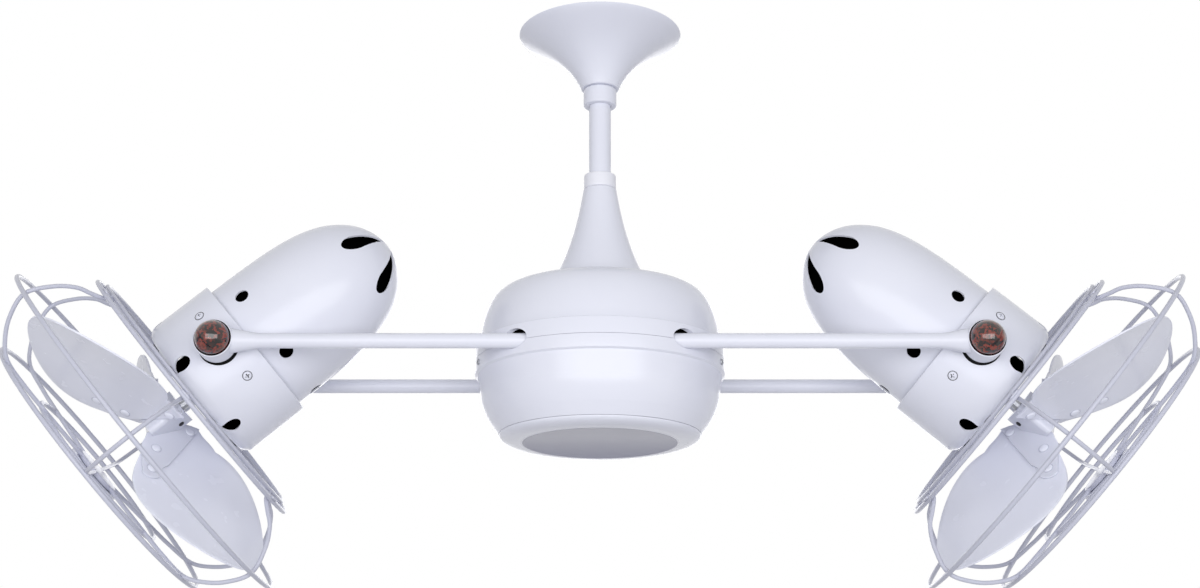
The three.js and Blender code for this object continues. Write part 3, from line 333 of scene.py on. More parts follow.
@dataclass(frozen=True)
class Metal:
    """Bare or plated metal with fine machining streaks and dull patches."""

    colour: str
    stain: str
    roughness: float
    grain: float = 500.0
    metallic: float = 1.0
    grain_strength: float = 0.15
    grain_depth: float = 0.0002
    patch_scale: float = 45.0
    dulling: float = 0.2

    def material(self, name: str) -> bpy.types.Material:
        """Returns a new material of this finish."""
        net = Net(bpy.data.materials.new(name))
        patches = net.noise(self.patch_scale, 4.0)
        grain = net.noise(self.grain, 3.0)
        return net.close(
            {
                "Base Color": net.mixed(patches, linear(self.colour), linear(self.stain)),
                "Metallic": self.metallic,
                "Roughness": self.roughness + self.dulling * patches - self.dulling / 4,
                "Normal": net.bump(grain, self.grain_strength, self.grain_depth),
            }
        )


@dataclass(frozen=True)
class Plastic:
    """Moulded plastic or rubber with a fine matt grain."""

    colour: str
    pale: str
    roughness: float
    gloss: float = 0.5
    grain: float = 1400.0
    grain_strength: float = 0.2
    grain_depth: float = 0.0001
    wear: float = 0.1
    wear_scale: float = 80.0

    def material(self, name: str) -> bpy.types.Material:
        """Returns a new material of this finish."""
        net = Net(bpy.data.materials.new(name))
        grain = net.noise(self.grain)
        return net.close(
            {
                "Base Color": net.mixed(grain, linear(self.colour), linear(self.pale)),
                "Roughness": self.roughness + self.wear * net.noise(self.wear_scale),
                "Specular IOR Level": self.gloss,
                "Normal": net.bump(grain, self.grain_strength, self.grain_depth),
            }
        )


class Finish(Enum):
    """Every finish on the fan."""

    WHITE = Enamel("e4e6f1", "dddfec")
    BLADE = Enamel("f0f2fd", "e9ebf8", 0.24)
    # Grey wire enamel; also the painted shadow ring round each rivet head.
    WIRE = Enamel("c8cad9", "bdbfcf", 0.26)
    NECK = Enamel("ecedf5", "e6e7f1", 0.3)
    DISC = Enamel("a4a5b7", "9a9bae", 0.3, 0.3)
    STONE = Stone("0c0706", "34130d", "7d2f22", "c99a86")
    STEEL = Metal("b9bbc0", "9a9ca3", 0.3)
    CASTING = Metal("2a2b2e", "1c1d20", 0.5, 900.0, 0.6)
    # The motor's own dark metal, made near black also as painted shade seen through the vents.
    MOTOR = Metal("17181a", "0e0f11", 0.5, 700.0, 0.4)
    BRASS = Metal("c8a35a", "a27f3f", 0.3)
    # Black plastic parts; also the painted shade on screw recess floors and the painted shadow
    # rings round the collar screws.
    BLACK = Plastic("101012", "1c1c20", 0.5)
    # Near black without gloss: painted shade inside the shells, in the gap round each knob and
    # behind the nose slots.
    LINING = Plastic("020202", "040405", 0.9, 0.0)


class Palette:
    """Makes each finish once."""

    def __init__(self) -> None:
        """Starts with no material made."""
        self.made: dict[Finish, bpy.types.Material] = {}

    def get(self, finish: Finish) -> bpy.types.Material:
        """Returns the material of a finish."""
        if finish not in self.made:
            coating: Coating = finish.value
            self.made[finish] = coating.material(f"fan_{finish.name.lower()}")
        return self.made[finish]


# ---- Forms ---------------------------------------------------------------------------------------


@dataclass
class Form:
    """A mesh in the making: points in millimetres, and faces with the number of their finish."""

    points: list[Vector] = field(default_factory=list)
    faces: list[tuple[tuple[int, ...], int]] = field(default_factory=list)

    def add(self, *others: "Form") -> "Form":
        """Takes in other forms and returns itself."""
        for other in others:
            base = len(self.points)
            self.points += other.points
            self.faces += [
                (tuple(base + corner for corner in face), number)
                for face, number in other.faces
            ]
        return self

    def placed(self, matrix: Matrix) -> "Form":
        """Returns a copy moved by a matrix in millimetres."""
        return Form([matrix @ point for point in self.points], list(self.faces))

    def finished(self, number: int) -> "Form":
        """Returns a copy whose faces all take one finish."""
        return Form(list(self.points), [(face, number) for face, _ in self.faces])


def spread(count: int, start: float, end: float) -> list[float]:
    """Returns evenly spaced values, both ends among them."""
    return [start + (end - start) * i / (count - 1) for i in range(count)]


def around(count: int, first: float) -> list[float]:
    """Returns evenly spaced azimuths of a full turn, in degrees."""
    return [first + 360 / count * k for k in range(count)]


def spun(azimuth: float) -> Matrix:
    """Returns the turn about Z by an azimuth in degrees."""
    return Matrix.Rotation(math.radians(azimuth), 4, "Z")


def polar(radius: float, azimuth: float, height: float) -> Vector:
    """Returns a point at a radius, an azimuth in degrees and a height."""
    turn = math.radians(azimuth)
    return Vector((radius * math.cos(turn), radius * math.sin(turn), height))


def filleted(points: Profile, radius: float, steps: int = 4, most: float = 0.45) -> Profile:
    """Rounds the sharp corners of an open profile.

    Args:
        points: the profile.
        radius: radius of the rounding, less where the sides are short.
        steps: segments in each rounding.
        most: the share of a side that a rounding may take.

    Returns:
        The rounded profile.
    """
    out = [points[0]]
    for before, corner, after in zip(points, points[1:], points[2:]):
        at = Vector(corner)
        back, ahead = Vector(before) - at, Vector(after) - at
        turn = math.pi - back.angle(ahead)
        if turn < ROUNDED:
            out.append(corner)
            continue
        reach = min(radius * math.tan(turn / 2), most * back.length, most * ahead.length)
        start, end = at + back.normalized() * reach, at + ahead.normalized() * reach
        for i in range(steps + 1):
            t = i / steps
            out.append(tuple(start * (1 - t) ** 2 + at * 2 * t * (1 - t) + end * t * t))
    return out + [points[-1]]


def turned(profile: Profile, sides: int = SIDES, lining: int = 0) -> Form:
    """Turns a closed profile about Z.

    Args:
        profile: radius and height of each row; the last row joins the first.
        sides: facets round the axis.
        lining: first row of the inside, whose faces take finish 1, on most pieces the black of
            painted shade; 0 for none.

    Returns:
        The turned form.
    """
    form = Form()
    for radius, height in profile:
        form.points += [polar(radius, turn, height) for turn in around(sides, 0)]
    count = len(profile)
    for row in range(count):
        after = (row + 1) % count
        if max(profile[row][0], profile[after][0]) < ON_AXIS:
            continue
        number = 1 if lining and lining <= row < count - 1 else 0
        for k in range(sides):
            nxt = (k + 1) % sides
            face = (row * sides + k, row * sides + nxt, after * sides + nxt, after * sides + k)
            form.faces.append((face, number))
    return form


def shell(outer: Profile, inner: Profile, sides: int = SIDES) -> Form:
    """Returns a turned wall between two profiles that run the same way; its inside takes finish 1,
    on most pieces the black of painted shade.
    """
    return turned(outer + inner[::-1], sides, lining=len(outer))


def arc(middle: Pair, radius: float, turns: Iterable[float]) -> Profile:
    """Returns points round a middle, one at each angle in degrees."""
    x, y = middle
    return [
        (x + radius * math.cos(math.radians(t)), y + radius * math.sin(math.radians(t)))
        for t in turns
    ]


def hoop(place: Pair, wire: float, sides: int = 144, facets: int = 12) -> Form:
    """Returns a ring of round wire at a radius and height."""
    return turned(arc(place, wire, around(facets, 0)), sides)


def square_to(start: Vector, direction: Vector) -> Matrix:
    """Returns the matrix that takes +Z to a direction and the origin to a start."""
    return Matrix.Translation(start) @ direction.to_track_quat("Z", "Y").to_matrix().to_4x4()


def bar(start: Vector, end: Vector, radius: float, edge: float = 0.0, sides: int = 32) -> Form:
    """Returns a round bar between two points, with its end edges rounded."""
    length = (end - start).length
    profile: Profile = [(0, 0), (radius, 0), (radius, length), (0, length)]
    if edge:
        profile = filleted(profile, edge)
    return turned(profile, sides).placed(square_to(start, end - start))


def curved(points: Sequence[Vector], steps: int = 8) -> list[Vector]:
    """Returns a smooth path through points.

    Args:
        points: what the path passes.
        steps: segments between two points.
    """
    ends = [points[0] * 2 - points[1], *points, points[-1] * 2 - points[-2]]
    path = []
    for a, b, c, d in zip(ends, ends[1:], ends[2:], ends[3:]):
        for i in range(steps):
            t = i / steps
            path.append(
                0.5
                * (
                    2 * b
                    + (c - a) * t
                    + (2 * a - 5 * b + 4 * c - d) * t**2
                    + (3 * b - a - 3 * c + d) * t**3
                )
            )
    return path + [points[-1]]


def wire(path: Sequence[Vector], radius: float, sides: int = 12) -> Form:
    """Sweeps a round section along a path, with closed ends.

    Args:
        path: the middle of the wire.
        radius: the wire's radius.
        sides: facets round the wire.

    Returns:
        The wire.
    """
    form = Form()
    side = (path[1] - path[0]).orthogonal().normalized()
    for i, point in enumerate(path):
        ahead = (path[min(i + 1, len(path) - 1)] - path[max(i - 1, 0)]).normalized()
        side = (side - ahead * side.dot(ahead)).normalized()
        other = ahead.cross(side)
        for turn in around(sides, 0):
            angle = math.radians(turn)
            form.points.append(point + (side * math.cos(angle) + other * math.sin(angle)) * radius)
    for i in range(len(path) - 1):
        for k in range(sides):
            nxt = (k + 1) % sides
            base = i * sides
            form.faces.append(((base + k, base + nxt, base + sides + nxt, base + sides + k), 0))
    last = (len(path) - 1) * sides
    form.faces.append((tuple(range(sides))[::-1], 0))
    form.faces.append((tuple(range(last, last + sides)), 0))
    return form


def prism(outline: Sequence[Pair], low: float, high: float) -> Form:
    """Returns a straight prism of an outline between two heights."""
    count = len(outline)
    form = Form([Vector((x, y, z)) for z in (low, high) for x, y in outline])
    form.faces = [(tuple(range(count))[::-1], 0), (tuple(range(count, 2 * count)), 0)]
    for k in range(count):
        nxt = (k + 1) % count
        form.faces.append(((k, nxt, count + nxt, count + k), 0))
    return form


def drop(radius: float, tail: float, low: float, high: float) -> Form:
    """Returns a prism of a drop: a round end at the origin and a point at -X."""
    lean = 180 - math.degrees(math.acos(radius / tail))
    return prism([(-tail, 0.0), *arc((0, 0), radius, spread(25, -lean, lean))], low, high)


def rim(rows: int, columns: int) -> list[int]:
    """Returns the numbers of the points round the edge of a grid, in order."""
    last = (rows - 1) * columns
    return [
        *range(columns),
        *range(2 * columns - 1, rows * columns, columns),
        *range(last + columns - 2, last - 1, -1),
        *range(last - columns, 0, -columns),
    ]


def sheet(
    rows: Sequence[Row],
    columns: int,
    offsets: Pair,
    surface: Callable[[float, float, float], Vector],
) -> Form:
    """Lays a closed sheet on a surface.

    Args:
        rows: place of each row, with its low and high end.
        columns: points in a row.
        offsets: distance of the back and the front from the surface.
        surface: a point from the row's place, the place in the row and an offset.

    Returns:
        The sheet.
    """
    form = Form()
    for offset in offsets:
        for place, low, high in rows:
            form.points += [surface(place, tau, offset) for tau in spread(columns, low, high)]
    layer = len(rows) * columns
    for i in range(len(rows) - 1):
        for j in range(columns - 1):
            a = i * columns + j
            quad = (a, a + 1, a + columns + 1, a + columns)
            form.faces.append((quad[::-1], 0))
            form.faces.append((tuple(layer + corner for corner in quad), 0))
    edge = rim(len(rows), columns)
    for a, b in zip(edge, edge[1:] + edge[:1]):
        form.faces.append(((a, b, layer + b, layer + a), 0))
    return form


# ---- Making pieces -------------------------------------------------------------------------------


class Bench:
    """Turns forms into dressed pieces that ride on the frame."""

    def __init__(self, palette: Palette) -> None:
        """Keeps the palette that dresses the pieces."""
        self.palette = palette

    @staticmethod
    def _object(name: str, form: Form, matrix: Matrix) -> bpy.types.Object:
        """Makes a closed mesh object.

        Args:
            name: the object's name.
            form: what it is made of.
            matrix: where the form goes, in millimetres.

        Returns:
            The object, at the origin, in metres.
        """
        mesh = bpy.data.meshes.new(name)
        placed = [(matrix @ point) * MM for point in form.points]
        mesh.from_pydata(placed, [], [face for face, _ in form.faces])
        mesh.polygons.foreach_set("material_index", [number for _, number in form.faces])
        made = bmesh.new()
        made.from_mesh(mesh)
        bmesh.ops.remove_doubles(made, verts=made.verts, dist=WELD)
        bmesh.ops.recalc_face_normals(made, faces=made.faces)
        made.to_mesh(mesh)
        made.free()
        thing = bpy.data.objects.new(name, mesh)
        bpy.context.scene.collection.objects.link(thing)
        return thing

    @staticmethod
    def _settle(thing: bpy.types.Object) -> None:
        """Applies the modifiers of an object to its mesh."""
        bpy.context.view_layer.update()
        graph = bpy.context.evaluated_depsgraph_get()
        baked = bpy.data.meshes.new_from_object(thing.evaluated_get(graph))
        thing.modifiers.clear()
        worn = thing.data
        thing.data = baked
        bpy.data.meshes.remove(worn)

    def _worked(
        self, thing: bpy.types.Object, tool: Form, matrix: Matrix, operation: str
    ) -> None:
        """Cuts a tool from an object, or joins it on.

        Args:
            thing: the object.
            tool: what cuts or joins.
            matrix: where the tool goes.
            operation: DIFFERENCE or UNION.
        """
        cutter = self._object("tool", tool, matrix)
        modifier = thing.modifiers.new("work", "BOOLEAN")
        modifier.operation = operation
        modifier.solver = "EXACT"
        modifier.object = cutter
        self._settle(thing)
        bpy.data.objects.remove(cutter)

    def _bevelled(self, thing: bpy.types.Object, edge: float) -> None:
        """Takes the sharp edges off an object, by a width in millimetres."""
        bevel = thing.modifiers.new("edge", "BEVEL")
        bevel.width = edge * MM
        bevel.segments = 2
        bevel.limit_method = "ANGLE"
        bevel.angle_limit = BEVELLED
        self._settle(thing)

    def piece(
        self,
        name: str,
        form: Form,
        finishes: Sequence[Finish],
        body: str,
        slot: str,
        replaces: Sequence[str] = (),
        matrix: Matrix = Matrix.Identity(4),
        joins: Form | None = None,
        cuts: Form | None = None,
        edge: float = 0.0,
    ) -> bpy.types.Object:
        """Makes one piece and sets it on the frame.

        Args:
            name: the piece's name.
            form: its form.
            finishes: the finishes that its faces name by number.
            body: the body it rides on.
            slot: the record's material slot; not used.
            replaces: the frame's nodes that it stands for.
            matrix: where the form goes.
            joins: a form joined on.
            cuts: a form cut out.
            edge: width of the bevel on sharp edges, in millimetres.

        Returns:
            The piece.
        """
        thing = self._object(name, form, matrix)
        for finish in finishes:
            thing.data.materials.append(self.palette.get(finish))
        if joins:
            self._worked(thing, joins, matrix, "UNION")
        if cuts:
            self._worked(thing, cuts, matrix, "DIFFERENCE")
        if edge:
            self._bevelled(thing, edge)
        thing.data.shade_smooth()
        thing.data.set_sharp_from_angle(angle=SHARP)
        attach(thing, body)
        if replaces:
            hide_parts(*replaces)
        log.info("%s: %d faces", name, len(thing.data.polygons))
        return thing


def screw(radius: float, height: float) -> tuple[Form, Form]:
    """Returns a pan head on the XY plane and the cross that is cut in it.

    The recess has a black floor, which takes finish 1 and is painted shade in the recess.

    Args:
        radius: the head's radius.
        height: the head's height.
    """
    seat, recess, floor, edge = -0.8, 0.9, 0.1, 0.3
    wide, long = radius * 0.17, radius * 0.58
    dome = [
        (0, seat), (radius, seat), (radius, height * 0.5),
        (radius * 0.72, height), (0, height * 1.05),
    ]
    cross = [(long, -wide), (long, wide), (wide, wide)]
    for _ in range(3):
        cross += [(-y, x) for x, y in cross[-3:]]
    bottom = height - recess
    # painted shade: the black floor of the cross recess
    head = turned(filleted(dome, edge), 40).add(prism(cross, bottom - floor, bottom).finished(1))
    return head, prism(cross, bottom, height + 2)


# ---- Hanging parts -------------------------------------------------------------------------------


@dataclass
class Hanger:
    """Canopy, downrod, collars and neck cone, all on the ceiling mount."""

    bench: Bench
    rim: float = 80.0
    roll: float = 0.3
    tail: float = -5.66
    half: float = 29.85
    power: float = 1.45
    depth: float = 57.3
    wall: float = 1.4
    rod: float = 10.65
    rod_wall: float = 1.85
    rod_top: float = -10.0
    rod_bottom: float = -181.2
    canopy_collar: Row = (16.1, -57.6, -75.3)
    neck_collar: Row = (15.5, -147.3, -161.7)
    cone_top: float = -162.0
    cone_bottom: float = -255.4
    cone_base: float = 4.32
    cone_gain: float = 11.56
    cone_length: float = 74.34
    cone_bead: float = 0.8

    def canopy_radius(self, depth: float) -> float:
        """Returns the canopy's outside radius at a depth."""
        return self.tail + (self.rim - self.tail) / (1 + (depth / self.half) ** self.power)

    def cone_radius(self, z: float) -> float:
        """Returns the neck cone's outside radius at a height."""
        return self.cone_base + self.cone_gain * math.exp((self.cone_top - z) / self.cone_length)

    def canopy(self) -> None:
        """Makes the spun canopy with its rolled rim."""
        depths = [self.depth * share**1.4 for share in spread(41, 0, 1)]
        bore = self.rod + 2 * FIT
        outer = [(self.rim - 3 * self.roll, 0.0), (self.rim - self.roll, -self.roll)]
        outer += [(self.canopy_radius(d), -d) for d in depths[1:]]
        outer.append((bore, -self.depth))
        inner = [(self.canopy_radius(d) - self.wall * 1.2, -d) for d in depths[:-2]]
        inner.append((bore, -self.depth + self.wall))
        self.bench.piece(
            "canopy_bell", shell(filleted(outer, 1.2), inner), [Finish.WHITE, Finish.WHITE],
            "mount", "white_metal", ["canopy"],
        )

    def ring(self, name: str, node: str, sizes: Row, finish: Finish, slot: str) -> None:
        """Makes one collar on the rod.

        Args:
            name: the piece's name.
            node: the node it replaces.
            sizes: radius, top and bottom.
            finish: its enamel.
            slot: its material slot.
        """
        radius, top, bottom = sizes
        bore = self.rod + FIT
        outer = filleted([(bore, top), (radius, top), (radius, bottom), (bore, bottom)], 1.8, 6)
        self.bench.piece(name, turned(outer, 96), [finish], "mount", slot, [node])

    def rod_tube(self) -> None:
        """Makes the downrod."""
        bore, top, bottom = self.rod - self.rod_wall, self.rod_top, self.rod_bottom
        profile = filleted([(bore, top), (self.rod, top), (self.rod, bottom), (bore, bottom)], 0.5)
        self.bench.piece(
            "rod_tube", turned(profile, 96), [Finish.WHITE], "mount", "white_metal", ["downrod"]
        )

    def cone(self) -> None:
        """Makes the neck cone, black inside as painted shade, with a rolled foot over the dome."""
        heights = spread(48, self.cone_top, self.cone_bottom)
        outer = [(self.rod + FIT, self.cone_top)] + [(self.cone_radius(z), z) for z in heights]
        inner = [(self.rod + FIT, self.cone_top - self.wall)]
        inner += [(self.cone_radius(z) - self.wall, z) for z in heights[3:]]
        foot = (self.cone_radius(self.cone_bottom) - 0.6, self.cone_bottom + self.cone_bead)
        form = shell(filleted(outer, 1.4), inner).add(hoop(foot, self.cone_bead).finished(2))
        self.bench.piece(
            "cone_flare", form, [Finish.WHITE, Finish.LINING, Finish.NECK],
            "mount", "white_metal", ["neck_cone"],
        )

    def build(self) -> None:
        """Makes every piece."""
        self.canopy()
        self.ring("canopy_ring", "canopy_collar", self.canopy_collar, Finish.WHITE, "white_metal")
        self.rod_tube()
        self.ring("neck_ring", "neck_collar", self.neck_collar, Finish.NECK, "white_collar")
        self.cone()


# ---- Housing -------------------------------------------------------------------------------------


@dataclass(frozen=True)
class Quarter:
    """A rounded quarter of a profile, from its widest place to its top or bottom."""

    radius: float
    wide: float
    base: float
    rise: float
    power: float  # 2 is an ellipse, and more is squarer

    def points(self, turns: Iterable[float], wall: float = 0.0) -> Profile:
        """Returns points on it.

        Args:
            turns: their angles in degrees, 0 at the widest place.
            wall: what is taken off for the inside.
        """
        middle = self.radius - wall - self.wide
        rise = self.rise - math.copysign(wall, self.rise)
        share = 2 / self.power
        return [
            (
                middle + self.wide * math.cos(math.radians(t)) ** share,
                self.base + rise * math.sin(math.radians(t)) ** share,
            )
            for t in turns
        ]


@dataclass
class Housing:
    """The turning housing: dome, band, bowl, cap, disc and band screws."""

    bench: Bench
    arm_z: float = -335.8
    arm_y: float = 88.0
    band: float = 117.0
    band_top: float = -320.0
    band_bottom: float = -348.0
    seam: float = 0.3
    wall: float = 2.0
    hole: float = 33.0
    neck: Pair = (44.93, -256.4)
    dome: Quarter = Quarter(114.54, 34.54, -345.0, 79.0, 2.54)
    groove: float = 114.5
    bowl: Quarter = Quarter(111.6, 34.4, -369.3, -47.4, 1.46)
    edge: float = 0.9
    crease: Pair = (94.4, -404.0)
    cap_wide: float = 21.0
    cap_bottom: float = -411.2
    cap_rim: Pair = (3.7, 5.3)
    cap_rise: float = 6.0
    disc: float = 73.0
    disc_bead: float = 0.55
    ledge: float = 5.0
    ledge_low: float = 1.9
    ledge_high: float = 3.6
    arm_hole: float = 9.1
    arm_hole_rise: float = 2.1
    screw_size: Pair = (3.0, 1.2)
    screw_azimuth: float = 17.4
    screw_z: float = -342.0

    def holes(self) -> Form:
        """Returns the four holes that the arms pass, a little above the arms' line."""
        form = Form()
        z = self.arm_z + self.arm_hole_rise
        for side in (-1, 1):
            for end in (-1, 1):
                ends = [Vector((side * x, end * self.arm_y, z)) for x in (12, 160)]
                form.add(bar(*ends, self.arm_hole, sides=48))
        return form

    def casing(self, name: str, node: str, outer: Profile, inner: Profile) -> None:
        """Makes one shell of the housing, with the arms' holes cut in it; its inside is black as
        painted shade.

        Args:
            name: the piece's name.
            node: the node it replaces.
            outer: its outside.
            inner: its inside.
        """
        self.bench.piece(
            name, shell(filleted(outer, self.edge), inner, 192), [Finish.WHITE, Finish.LINING],
            "carrier", "white_metal", [node], cuts=self.holes(),
        )

    def upper(self) -> None:
        """Makes the dome with the upper half of the band."""
        neck, top = self.neck
        seam = self.arm_z + self.seam / 2
        outer = [
            (self.hole, top), self.neck, *self.dome.points(spread(26, 88, 18)),
            (self.dome.radius + 0.1, self.band_top), (self.band, self.band_top), (self.band, seam),
        ]
        inner = [
            (self.hole, top - self.wall), (neck, top - self.wall),
            *self.dome.points(spread(20, 88, 24), self.wall), (self.band - self.wall, seam),
        ]
        self.casing("dome_shell", "upper_housing", outer, inner)

    def lower(self) -> None:
        """Makes the bowl with the lower half of the band."""
        seam, under = self.arm_z - self.seam / 2, self.band_bottom
        turns = spread(18, 0, 38)
        outer = [
            (self.band, seam), (self.band, under), (self.groove, under - 1.5),
            (self.groove - 0.4, under - 4), (self.bowl.radius + 1.2, under - 8),
            *self.bowl.points(turns), self.crease,
        ]
        inner = [
            (self.band - self.wall, seam), (self.bowl.radius - self.wall, under),
            *self.bowl.points(turns, self.wall), (self.crease[0] - 3, self.crease[1]),
        ]
        self.casing("bowl_shell", "lower_housing", outer, inner)

    def cap(self) -> None:
        """Makes the dished cap."""
        wide, top, low = self.crease[0], self.crease[1] - FIT, self.cap_bottom
        thin, thick = self.cap_rim
        curve = Quarter(wide - 0.4, self.cap_wide, top, low - top, 2).points(spread(16, 0, 90))
        dish = [
            (wide - thin, top + self.cap_rise), (wide - thin, top), *curve,
            (self.disc, low + self.ledge_low), (self.disc - self.ledge, low + self.ledge_low),
            (self.disc - self.ledge, low + self.ledge_high), (wide - 11.7, low + self.ledge_high),
            (wide - thick, top), (wide - thick, top + self.cap_rise),
        ]
        self.bench.piece(
            "cap_dish", turned(dish, 160), [Finish.WHITE], "carrier", "white_metal", ["bottom_cap"]
        )

    def plate(self) -> None:
        """Makes the flat disc in the cap, with a bright bead round its edge."""
        edge, low, high = self.disc - 0.5, self.cap_bottom, self.cap_bottom + 1.6
        profile = filleted(
            [(0, low + 0.3), (edge - 2.9, low + 0.3), (edge - 1.9, low - 0.1), (edge, low),
             (edge, high), (0, high)],
            0.4,
        )
        bead = hoop((self.disc - 0.4, low + 0.35), self.disc_bead).finished(1)
        self.bench.piece(
            "disc_plate", turned(profile, 160).add(bead), [Finish.DISC, Finish.NECK],
            "carrier", "grey_disc", ["bottom_disc"],
        )

    def screws(self) -> None:
        """Makes the four cross-head screws in the band."""
        head, cross = screw(*self.screw_size)
        heads, crosses = Form(), Form()
        for side in (-1, 1):
            for azimuth in (side * self.screw_azimuth, 180 - side * self.screw_azimuth):
                out = polar(1, azimuth, 0)
                seat = square_to(polar(self.band + FIT, azimuth, self.screw_z), out)
                heads.add(head.placed(seat))
                crosses.add(cross.placed(seat))
        # finish 1, black, is the painted shade on the recesses' floors
        self.bench.piece(
            "band_screw_heads", heads, [Finish.STEEL, Finish.BLACK], "carrier", "steel",
            [f"band_screw_{k}" for k in range(1, 5)], cuts=crosses,
        )

    def build(self) -> None:
        """Makes every piece."""
        self.upper()
        self.lower()
        self.cap()
        self.plate()
        self.screws()


# ---- Arms and knobs ------------------------------------------------------------------------------


@dataclass
class Arms:
    """Four arms with cupped eyes, and the stone knobs in them."""

    bench: Bench
    y: float = 88.0
    z: float = -335.8
    radius: float = 6.85
    bore: float = 5.0
    inner_x: float = 10.0
    pivot_x: float = 343.5
    flare: float = 11.5
    flare_length: float = 34.0
    eye: float = 17.6
    rim: float = 1.0
    eye_inner: float = 76.5
    eye_outer: float = 99.0
    knob: float = 16.0
    polish: float = 0.4
    knob_y: float = 99.5
    stud: float = 5.3
    stud_hole_end: float = 103.5
    # painted shade: wall of the black ring in the gap round the knob
    gasket_wall: float = 0.9

    def face(self, side: int, end: int) -> Matrix:
        """Returns the matrix of an eye, whose +Z points outwards along the pivot."""
        return square_to(Vector((side * self.pivot_x, 0, self.z)), Vector((0, end, 0)))

    def tube(self) -> Form:
        """Returns a tube along +Z that flares where it meets its eye."""
        stop = self.pivot_x - self.eye / 2
        profile = [(self.bore, self.inner_x), (self.radius, self.inner_x)]
        for share in spread(16, 0, 1):
            rise = (self.flare - self.radius) * (share * share * (3 - 2 * share))
            profile.append((self.radius + rise, stop - self.flare_length * (1 - share)))
        return turned([*profile, (self.bore, stop)], 64)

    def cup(self) -> tuple[Form, Form]:
        """Returns an eye, and what is cut out of it for the knob and the stud."""
        low, high = self.eye_inner, self.eye_outer
        inside, floor = self.eye - self.rim, self.knob_y - self.knob - FIT
        body = filleted([(0, low), (self.eye, low), (self.eye, high), (0, high)], 1.2)
        recess = [
            (0, low - 1), (self.stud, low - 1), (self.stud, floor),
            (inside, floor), (inside, high + 1), (0, high + 1),
        ]
        return turned(body, 72), turned(recess, 72)

    def gasket(self) -> Form:
        """Returns the thin black ring between the eye's wall and the knob, painted shade in the gap
        there.
        """
        outside, low, high = self.eye - self.rim, self.eye_outer - 2, self.eye_outer - 0.1
        inside = outside - self.gasket_wall
        return turned([(inside, low), (outside, low), (outside, high - 0.2), (inside, high)], 72)

    def arm(self, side: int, end: int, name: str) -> None:
        """Makes one arm with its eye, and the thin black ring under the knob's rim that is painted
        shade in the gap.

        Args:
            side: -1 for left and 1 for right.
            end: -1 for front and 1 for rear.
            name: the frame node's name.
        """
        lay = Matrix.Translation((0, end * self.y, self.z))
        lay @= Matrix.Rotation(side * math.pi / 2, 4, "Y")
        face = self.face(side, end)
        eye, recess = self.cup()
        self.bench.piece(
            f"{name}_tube", self.tube().placed(lay), [Finish.WHITE], "carrier", "white_metal",
            [name], joins=eye.placed(face), cuts=recess.placed(face),
        )
        # painted shade: a black ring in the gap round the knob
        gasket = self.gasket().placed(face)
        self.bench.piece(f"{name}_gasket", gasket, [Finish.LINING], "carrier", "black_plastic")

    def ball(self, side: int, end: int, name: str) -> None:
        """Makes one stone knob, a little under its gross size where it is polished.

        Args:
            side: -1 for left and 1 for right.
            end: -1 for front and 1 for rear.
            name: the frame node's and body's name.
        """
        radius = self.knob - self.polish
        profile = [
            (0, self.stud_hole_end), (self.stud, self.stud_hole_end),
            *arc((0, self.knob_y), radius, spread(41, -70, 90))[:-1], (0, self.knob_y + radius),
        ]
        form = turned(profile, 72).placed(self.face(side, end))
        self.bench.piece(f"{name}_stone", form, [Finish.STONE], name, "red_stone", [name])

    def build(self) -> None:
        """Makes every piece."""
        for side, side_name in ((-1, "left"), (1, "right")):
            for end, end_name in ((-1, "front"), (1, "rear")):
                self.arm(side, end, f"{side_name}_{end_name}_arm")
                self.ball(side, end, f"{side_name}_{end_name}_knob")


# ---- Fan heads -----------------------------------------------------------------------------------


class Side(Enum):
    """The two heads."""

    LEFT = -1
    RIGHT = 1

    @property
    def word(self) -> str:
        """Returns the side's name in the frame."""
        return self.name.lower()

    def frame(self, pivot_x: float = 343.5, pivot_z: float = -335.8, tilt: float = 40.0) -> Matrix:
        """Returns the matrix from a head's own frame to the fan's.

        Args:
            pivot_x: distance of the pivot from the middle.
            pivot_z: height of the pivot.
            tilt: degrees that the head hangs down at rest.
        """
        lean = math.radians(tilt)
        up = Vector((self.value * math.sin(lean), 0, math.cos(lean)))
        out = Vector((self.value * math.cos(lean), 0, -math.sin(lean)))
        turn = Matrix((up, Vector((0, -1, 0)), out)).transposed().to_4x4()
        return Matrix.Translation((self.value * pivot_x, 0, pivot_z)) @ turn


@dataclass
class HeadPart:
    """What a head and its rotor share: the bench, the side and the frame they are made in."""

    bench: Bench
    side: Side
    body: ClassVar[str]

    def _piece(
        self,
        name: str,
        form: Form,
        finishes: Sequence[Finish],
        slot: str,
        node: str = "",
        **more: object,
    ) -> None:
        """Makes a piece in the head's own frame.

        Args:
            name: its name without the side.
            form: its form.
            finishes: its finishes.
            slot: its material slot.
            node: the node it replaces, without the side; empty for none.
            more: what Bench.piece takes besides.
        """
        word = self.side.word
        self.bench.piece(
            f"{word}_{name}", form, finishes, f"{word}_{self.body}", slot,
            [f"{word}_{node}"] if node else [], self.side.frame(), **more,
        )


